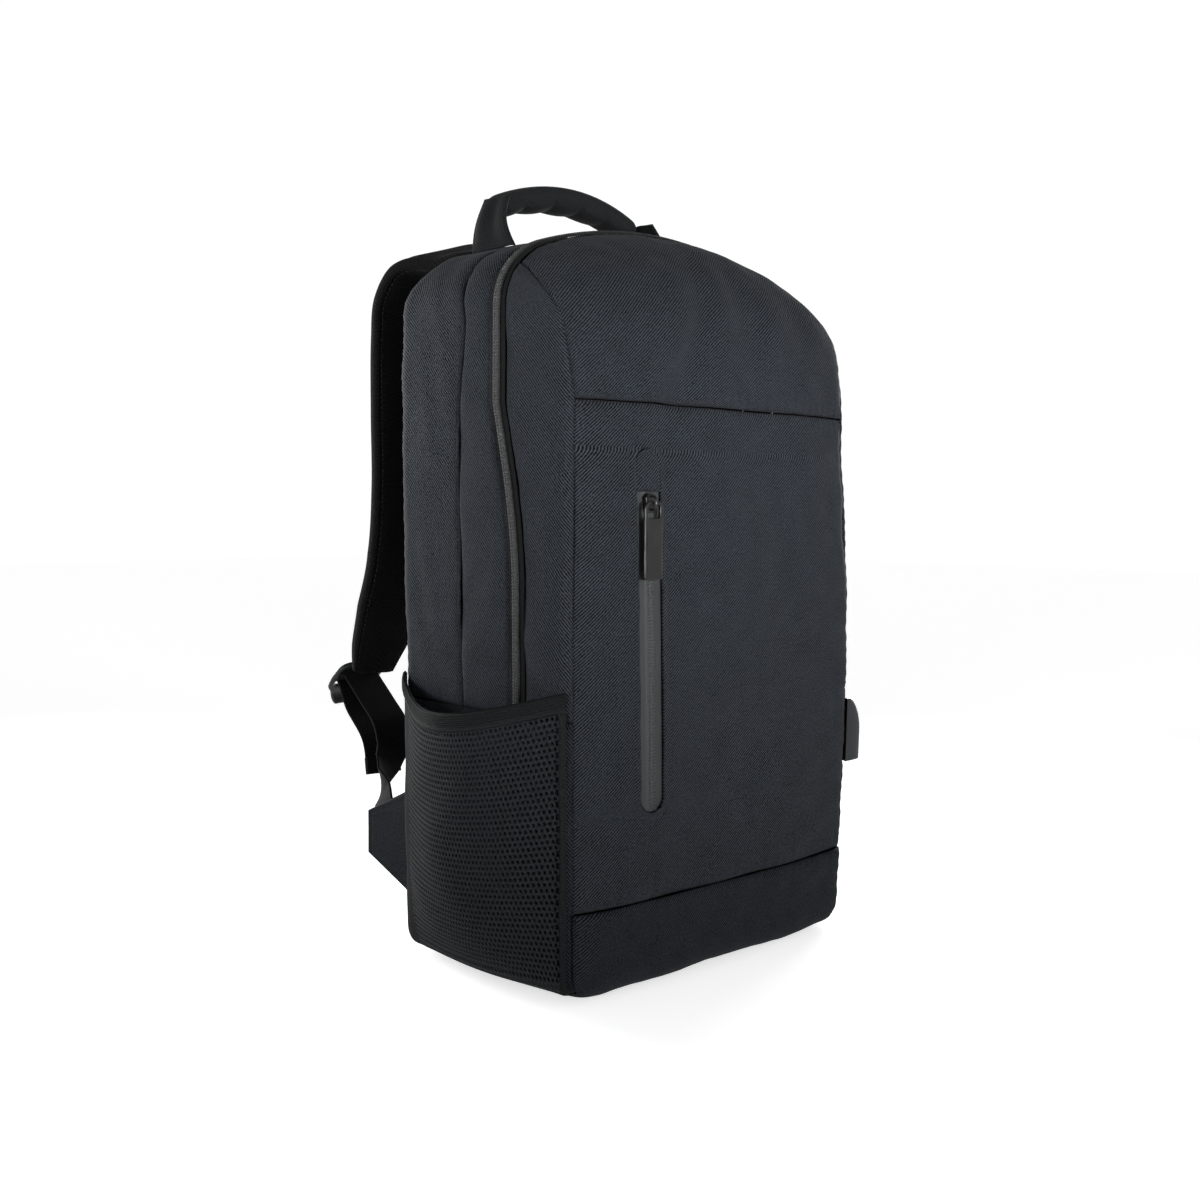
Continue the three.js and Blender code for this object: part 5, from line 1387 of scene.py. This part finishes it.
strap_cloth = spacer_mesh("strap_mesh", strap_tone)
across, rise = oval(64, 0.5)
welt = np.exp(-(((np.abs(across) - 0.86) / 0.035) ** 2))
ends = np.clip(np.minimum(strap_share, 1 - strap_share) / 0.004, 0.05, 1) ** 0.5
for side, mirror in on_side.items():
    soft = 1 + 0.03 * np.sin(40 * strap_share[:, None] + 3 * across[None]) * (np.abs(across[None]) < 0.8)
    rise_at = rise[None] * (1 - 0.16 * welt[None]) * soft
    rings = (
        strap_path[:, None]
        + strap_across[:, None] * (across[None] * (strap_half * wide * ends)[:, None])[..., None]
        + strap_out[:, None] * (rise_at * (strap_thick / 2 * thick * ends)[:, None])[..., None]
    ) * mirror
    if side == "right":
        rings = rings[:, ::-1]
    strap = tube_of("shoulder_strap_padded_" + side, rings)
    dress(strap, strap_cloth, "pack_cloth", "shoulder_strap_" + side)
    for edge in (-1, 1):
        keep = slice(8, -8)
        reach = edge * 0.86 * strap_half * wide
        face = 0.86 * strap_thick / 2 * thick
        line = strap_path + strap_across * reach[:, None] + strap_out * face[:, None]
        path = (line * mirror)[keep]
        name = f"strap_stitches_{side}_{'outer' if edge < 0 else 'inner'}"
        stitches = stitch_row(name, path, (strap_out * mirror)[keep], radius=0.28 * mm)
        dress(stitches, thread, "pack_cloth")

# Strap adjusters
# A moulded ladder at the end of each strap: a leaf-shaped plate with two slots and a tongue that
# turns down. The webbing comes up through the lower slot and goes back over the middle bar.
adjuster_thick, bar, slot = 4 * mm, 7 * mm, 6 * mm
adjuster_slope, tongue_slope, adjuster_lift = np.radians(42), np.radians(82), 9 * mm
moulded_tone = (0.00514, 0.00578, 0.00661)
above, end = strap_table[-2], strap_table[-1]
adjuster_origin = behind(end[0], end[1], end[2])
sine, cosine = np.sin(adjuster_slope), np.cos(adjuster_slope)
adjuster_origin[1] += strap_thick / 2 * above[4] + 0.4 * mm + adjuster_thick * sine
adjuster_origin[2] += adjuster_lift


def on_adjuster(along, out):
    """A place in the plate's own frame: along runs down it, out away from the bag."""
    down = np.array([0, cosine, -sine])
    away = np.array([0, sine, cosine])
    return adjuster_origin + np.asarray(along)[..., None] * down + np.asarray(out)[..., None] * away


steps = np.array([0, 3.5, 7, 9.5, 13, 16.5, 20, 22.5, 26, 29.5, 33]) * mm
half_at = np.array([12, 18, 19.6, 20, 20, 20, 20, 19.6, 19, 17.5, 14]) * mm
lift_at = np.array([-0.8, -0.1, 0, 0, 0, 0.5, 0, 0, 0, 0.1, 0]) * mm
plate = on_adjuster(steps, lift_at)
tongue_steps = np.array([3, 7, 12]) * mm
tongue_turn = mix(adjuster_slope, tongue_slope, np.array([0.35, 0.8, 1]))
pieces = np.diff(np.concatenate([[0], tongue_steps]))
turned = np.stack([np.zeros(3), np.cos(tongue_turn), -np.sin(tongue_turn)], -1)
tongue = plate[-1] + np.cumsum(turned * pieces[:, None], 0)
spine = np.concatenate([plate, tongue])
half_at = np.concatenate([half_at, np.array([12.6, 11.6, 8.5]) * mm])
sides = np.array([-1, -0.8, -0.4, 0, 0.4, 0.8, 1])
x = half_at[:, None] * sides[None]
control = spine[:, None] + np.array([1, 0, 0]) * x[..., None]
dish = 0.8 * mm * (1 - sides**2)[None] * np.ones_like(x)
control = control + np.array([0, sine, cosine]) * (dish - 0.8 * mm)[..., None]
openings = np.zeros((len(spine) - 1, 6), bool)
openings[2:4, 1:5] = True
openings[6:8, 1:5] = True
moulded = plastic("moulded_plastic", moulded_tone, 0.5, "Object", 1400, 0.15)
for side, mirror in on_side.items():
    p = (control * mirror).reshape(-1, 3)
    faces = grid_cells(len(spine), 7)[~openings.ravel()]
    one, two = p[faces[:, 1]] - p[faces[:, 0]], p[faces[:, 3]] - p[faces[:, 0]]
    if np.sum(np.cross(one, two)[:, 2]) < 0:
        faces = faces[:, ::-1]
    adjuster = make_mesh("strap_adjuster_moulded_" + side, p, faces)
    wall = adjuster.modifiers.new("wall", "SOLIDIFY")
    wall.thickness = 3.6 * mm
    wall.offset = -1
    smooth = adjuster.modifiers.new("smooth", "SUBSURF")
    smooth.levels = smooth.render_levels = 3
    dress(adjuster, moulded, "moulded_plastic", "strap_adjuster_" + side)

# Webbing
# Flat woven webbing, sewn to the tab below, up through the adjuster's lower slot, over its middle bar
# and down again as a loose tail with a folded end.
web_half, web_thick = 14 * mm, 1.6 * mm
web_tone = (0.0034, 0.0035, 0.0038)
tab_side, tab_thick = 118 * mm, 3 * mm
web_table = np.array(
    [
        (0.148, 0.91, 0.46, 1),
        (0.176, 0.91, 0.58, 1),
        (0.202, 0.865, 0.76, 0.88),
        (0.223, 0.82, 0.92, 0.5),
        (0.244, 0.77, 0.97, 0.2),
        (0.273, 0.725, 1, 0),
        (0.301, 0.715, 1.12, 0),
        (0.331, 0.715, 1.42, 0),
    ]
)
tail_table = np.array([(0.318, 0.715, 1.76), (0.272, 0.715, 1.36), (0.222, 0.72, 1.24)])
web_clear = 0.4 * mm + web_thick / 2
before, after = bar + slot - web_clear, 2 * bar + slot + web_clear
over_bar = on_adjuster(
    np.array([before, before, before + 0.2 * mm, (before + after) / 2, after - 0.2 * mm, after, after]),
    np.array([-6, -2, 0.6, web_clear / mm + 0.5, 0.6, -2, -6]) * mm,
)
web_points = np.concatenate([behind(*web_table.T[:3]), over_bar, behind(*tail_table.T[:3])])
web_points[:2, 0] = -(tab_side - tab_thick / 2 - web_clear - 0.4 * mm)
share = np.linspace(0, 1, 700)
web_path = smooth_path(web_points, share)
place = np.clip(share * (len(web_points) - 1) / (len(web_table) - 1), 0, 1)
turn = np.interp(place, np.linspace(0, 1, len(web_table)), web_table[:, 3]) * np.pi / 2
turn = np.where(place < 1, turn, 0)
wanted = np.stack([np.cos(turn), 0.82 * np.sin(turn), -0.57 * np.sin(turn)], -1)
web_across, web_out = frame_along(web_path, wanted)
web_cloth = woven("strap_webbing", web_tone, 1.4, spread=0.4)
folded_end = 1 + 1.1 * (share > 0.972)
round_turn = np.linspace(-np.pi / 2, np.pi / 2, 7)
flat = np.linspace(-1, 1, 30)[1:-1]
web_edge = 0.965 + 0.035 * np.cos(round_turn)
web_x = np.concatenate([flat, web_edge, flat[::-1], -web_edge])
web_z = np.concatenate([-np.ones(28), np.sin(round_turn), np.ones(28), -np.sin(round_turn)])
for side, mirror in on_side.items():
    rings = (
        web_path[:, None]
        + web_across[:, None] * (web_half * web_x)[None, :, None]
        + web_out[:, None] * (web_z[None] * (web_thick / 2 * folded_end)[:, None])[..., None]
    ) * mirror
    if side == "right":
        rings = rings[:, ::-1]
    web = tube_of("strap_webbing_woven_" + side, rings)
    dress(web, web_cloth, "webbing", "strap_webbing_" + side)

# Strap tabs
# A doubled triangle of cloth sewn into the lower back edge on each side; the webbing is stitched to
# its blunt apex.
tab_top, tab_low, tab_apex_out, tab_apex_height, tab_corner = 102 * mm, 35 * mm, 41 * mm, 68 * mm, 14 * mm


def back_row(v, x):
    """The back panel by shares up and across: from the low seam to the rim, standing out from its
    seam by an even inset and a low crown."""
    seam = back_seam_y + seam_gap / 2
    side = envelope(mix(base_seam_share, shoulder_start, v) + gap_share, np.full_like(v, seam))
    out = back_inset * np.minimum(1, np.minimum(9 * v, 7 * (1 - v))) + 3 * mm * np.sin(np.pi * v)
    top = envelope(0.5, seam)[2]
    return row(side, seam + out, mix(back_inset, top, v), x)


def tab_start(z, mirror):
    """Depth of the back panel's outer face at the tab, on one side."""
    side = filled(envelope(share_at_height(z) + gap_share, back_seam_y + seam_gap / 2) * mirror)
    v = np.atleast_1d((share_at_height(z) - base_seam_share) / (shoulder_start - base_seam_share))
    x = np.atleast_1d((tab_side - tab_thick / 2) / np.abs(side[0]))
    return back_row(v, x)[0, 1] + 0.4 * mm


def tab_corners(mirror):
    """The tab's four corners in depth and height: low start, low apex, high apex, high start."""
    apex_y = back_y + tab_apex_out
    return np.array(
        [
            (tab_start(tab_low, mirror), tab_low),
            (apex_y, tab_apex_height - tab_corner),
            (apex_y, tab_apex_height + tab_corner),
            (tab_start(tab_top, mirror), tab_top),
        ]
    )


u, v = grid(60, 60, (-1, 0), (1, 1))
near = np.minimum((1 - np.abs(u)) * 12, (1 - v) * 20)
half = tab_thick / 2 * np.sqrt(1 - (1 - np.clip(near, 0, 1)) ** 2 * 0.98)
half = half * (1 - 0.18 * np.exp(-((near - 2.2) ** 2) / 0.3))
for side, mirror in on_side.items():
    corners = tab_corners(mirror)
    edge_low = mix(corners[0], corners[1], v[..., None])
    edge_high = mix(corners[3], corners[2], v[..., None])
    flat = mix(edge_low, edge_high, (u * 0.5 + 0.5)[..., None])
    walls = []
    for face in (-1, 1):
        p = np.stack([np.full_like(u, -tab_side) + face * half, flat[..., 0], flat[..., 1]], -1) * mirror
        walls.append(p)
    count = u.size
    cells = grid_cells(60, 60)
    border = np.concatenate([np.arange(60), np.arange(119, count, 60), np.arange(count - 2, count - 61, -1),
                             np.arange(count - 120, 0, -60)])
    following = np.roll(border, -1)
    rim = np.stack([border, border + count, following + count, following], -1)
    faces = np.concatenate([cells, cells[:, ::-1] + count, rim])
    if side == "right":
        faces = faces[:, ::-1]
    p = np.concatenate([wall.reshape(-1, 3) for wall in walls])
    uv = np.stack([p[:, 1], p[:, 2]], -1)
    piece = make_mesh("strap_tab_padded_" + side, p, faces, uv[faces.ravel()])
    dress(piece, base_cloth_material, "pack_cloth", "strap_tab_" + side)
    for edge, name in ((-0.72, "low"), (0.72, "high")):
        line_v = np.linspace(0.04, 0.93, 50)
        k = np.interp(edge, [-1, 1], [0, 1])
        low_line = mix(corners[0], corners[1], line_v[:, None])
        high_line = mix(corners[3], corners[2], line_v[:, None])
        line = mix(low_line, high_line, k)
        outer_face = np.full(50, -tab_side - tab_thick / 2 - 0.02 * mm)
        path = np.stack([outer_face, line[:, 0], line[:, 1]], -1) * mirror
        out = np.broadcast_to(np.array([-1.0, 0, 0]) * mirror, path.shape)
        dress(stitch_row(f"strap_tab_stitches_{side}_{name}", path, out), thread, "pack_cloth")

# Socket housing
# A soft moulded hood on the lower right side; the charging socket opens in its foot.
usb_width, usb_proud, usb_low, usb_high, usb_lip = 20 * mm, 19 * mm, 111 * mm, 154 * mm, 3 * mm
usb_line = front_y + 14 * mm
usb_tone = (0.00465, 0.00529, 0.00661)
u, v = grid(70, 60)
edge = np.abs(2 * u - 1)
round_off = np.where(v < 0.45, 1, np.cos(np.clip((v - 0.45) / 0.55, 0, 1) * np.pi / 2))
crown = (1 - 0.2 * edge**3) * np.sqrt(np.clip(1 - edge**9, 0.02, 1))
height = mix(usb_lip, usb_proud, np.sqrt(round_off)) * crown
usb_depth = usb_line + mix(-usb_width / 2, usb_width / 2, u)
base_form = envelope(share_at_height(mix(usb_low, usb_high, v)), usb_depth)
outer = filled((base_form - np.array([1, 0, 0]) * (0.4 * mm + height)[..., None]) * on_side["right"])
seat = filled((base_form - np.array([0.4 * mm, 0, 0])) * on_side["right"])
count = u.size
cells = grid_cells(70, 60)
border = np.concatenate([np.arange(60), np.arange(119, count, 60), np.arange(count - 2, count - 61, -1),
                         np.arange(count - 120, 0, -60)])
following = np.roll(border, -1)
keep = np.ones(len(border), bool)
keep[:59] = False
rim = np.stack([border, border + count, following + count, following], -1)[keep]
faces = np.concatenate([cells, cells[:, ::-1] + count, rim])
p = np.concatenate([outer.reshape(-1, 3), seat.reshape(-1, 3)])
one, two = p[cells[:, 1]] - p[cells[:, 0]], p[cells[:, 3]] - p[cells[:, 0]]
if np.sum(np.cross(one, two)[:, 0]) < 0:
    faces = faces[:, ::-1]
low_outer, low_seat = outer[0], seat[0]
housing = make_mesh("socket_hood", p, faces)
soft_plastic = plastic("soft_plastic", usb_tone, 0.55, "Object", 1300, 0.12)
# the foot is a ring of faces from the hood's lower edge to the socket's rounded opening
foot = np.concatenate([low_outer, low_seat[::-1]])
middle_x = (low_outer[30, 0] + low_seat[30, 0]) / 2
turn = np.arctan2((foot[:, 0] - middle_x), foot[:, 1] - usb_line)
half_long, half_short = 6.5 * mm, 2.8 * mm
reach = ((np.abs(np.cos(turn)) / half_long) ** 5 + (np.abs(np.sin(turn)) / half_short) ** 5) ** (-1 / 5)
hole_x, hole_y = middle_x + reach * np.sin(turn), usb_line + reach * np.cos(turn)
hole = np.stack([hole_x, hole_y, np.full_like(turn, usb_low)], -1)
deep = hole + np.array([0, 0, 11 * mm])
middle_ring = mix(foot, hole, 0.5)
middle_ring[:, 2] = usb_low - 0.3 * mm
rings = np.stack([foot, middle_ring, hole, deep])
cells = grid_cells(4, len(foot), wrap=True)
p = rings.reshape(-1, 3)
faces = cells.tolist() + [list(range(3 * len(foot), 4 * len(foot)))]
normal = np.cross(p[cells[0][1]] - p[cells[0][0]], p[cells[0][3]] - p[cells[0][0]])
if normal[2] > 0:
    faces = [face[::-1] for face in faces]
socket = make_mesh("socket_foot", p, faces)
core = slab("socket_core", lambda d: rounded_loop(11 * mm, -0.9 * mm, 0.9 * mm, 0.4 * mm, 0.4 * mm),
            np.linspace(0, 8 * mm, 3),
            lambda q: np.stack([middle_x + q[:, 2], usb_line + q[:, 0], usb_low + 2 * mm - q[:, 1]], -1))
housing = joined("socket_housing", housing, socket)
dress(housing, soft_plastic, "soft_moulding", "usb_housing")
dress(core, lacquer, "moulded_plastic")

# Back panel
# The padded panel on the wearer's side: spacer mesh over foam, quilted by sewn channels into two
# columns with an air channel between them.
back_tone = (0.0044, 0.0046, 0.005)
back_mesh = spacer_mesh("back_mesh", back_tone)
quilt_lines = np.array([92, 178, 264, 345]) * mm
spine_half, line_half, quilt_depth = 13 * mm, 3.2 * mm, 4.2 * mm
back = filled(field(back_row, back_seam_y + seam_gap / 2, shoulder_start, 0.75, 230, 190))
spine = np.exp(-((back[..., 0] / spine_half) ** 4))
lines = np.exp(-(((back[..., 2][..., None] - quilt_lines) / line_half) ** 2)).max(-1)
lines = lines * ease((100 * mm - np.abs(back[..., 0])) / (20 * mm))
back = sewn(back, seed=8) - face_normals(back) * (quilt_depth * np.maximum(spine, 0.8 * lines))[..., None]
back_pad = sheet_of("back_pad", back, 3 * mm)
dress(back_pad, back_mesh, "pack_cloth", "back_panel")

# Studio
# A pale floor, a white surround under a dim ceiling, four soft lights and the camera at the
# photograph's angle.
floor = make_mesh("floor", [(-6, -6, 0), (6, -6, 0), (6, 6, 0), (-6, 6, 0)], [(0, 1, 2, 3)])
floor_finish = {
    "Base Color": (0.9, 0.9, 0.9, 1),
    "Specular IOR Level": 0.1,
    "Emission Color": (1, 1, 1, 1),
    "Emission Strength": 0.6,
}
floor_material = new_material("floor_paint", 0.9, floor_finish)[0]
floor.data.materials.append(floor_material)


def soft_light(name, place, aim, size, power, spread):
    """A square area light at a place, turned to face a point, its light kept within an angle."""
    data = bpy.data.lights.new(name, "AREA")
    data.shape = "SQUARE"
    data.size = size
    data.energy = power
    data.spread = np.radians(spread)
    light = bpy.data.objects.new(name, data)
    light.location = place
    light.rotation_euler = (Vector(aim) - Vector(place)).to_track_quat("-Z", "Y").to_euler()
    bpy.context.scene.collection.objects.link(light)


studio_lights = {
    "key": ((-0.1, -1.15, 0.3), (0, -0.08, 0.37), 0.45, 2.1, 36),
    "right_fill": ((1.2, 0.45, 0.4), (0.12, 0.02, 0.26), 0.5, 2.2, 60),
    "back_fill": ((-0.15, 1.35, 0.42), (0, 0.1, 0.26), 0.6, 3.4, 60),
    "left_fill": ((-1.2, 0.05, 0.34), (-0.13, 0.05, 0.4), 0.45, 1.6, 36),
}
for name, (place, aim, size, power, spread) in studio_lights.items():
    soft_light(name, place, aim, size, power, spread)
world = bpy.data.worlds.new("studio")
world.use_nodes = True
sky = world.node_tree.nodes
direction = sky.new("ShaderNodeTexCoord")
height = sky.new("ShaderNodeSeparateXYZ")
ceiling = sky.new("ShaderNodeValToRGB")
white_below, dim_above, dim, strength = 0.36, 0.6, 0.22, 1.03
ceiling.color_ramp.elements[0].position = white_below
ceiling.color_ramp.elements[0].color = (1, 1, 1, 1)
ceiling.color_ramp.elements[1].position = dim_above
ceiling.color_ramp.elements[1].color = (dim, dim, dim, 1)
world.node_tree.links.new(direction.outputs["Generated"], height.inputs[0])
world.node_tree.links.new(height.outputs[2], ceiling.inputs["Fac"])
world.node_tree.links.new(ceiling.outputs["Color"], sky["Background"].inputs["Color"])
sky["Background"].inputs["Strength"].default_value = strength
bpy.context.scene.world = world
bpy.context.scene.view_settings.view_transform = "Standard"

camera_place = Vector((-674.5, -661.0, 284.0)) * mm
azimuth, pitch, roll = np.radians(-44.4), np.arctan(94 / 1450), 0.00873
aim_right = 1.76 / 1450
forward = Vector((-np.sin(azimuth) * np.cos(pitch), np.cos(azimuth) * np.cos(pitch), -np.sin(pitch)))
right = Vector((np.cos(azimuth), np.sin(azimuth), 0))
up = right.cross(forward)
forward = (forward + right * aim_right).normalized()
right = (right - forward * right.dot(forward)).normalized()
up = right.cross(forward)
right, up = right + up * roll, up - right * roll
camera_data = bpy.data.cameras.new("camera")
camera_data.lens = 36 * 1450 / 1200
camera_data.sensor_width = 36
camera = bpy.data.objects.new("camera", camera_data)
turn = Matrix((right, up, -forward)).transposed().to_4x4()
camera.matrix_world = Matrix.Translation(camera_place) @ turn
bpy.context.scene.collection.objects.link(camera)
bpy.context.scene.camera = camera
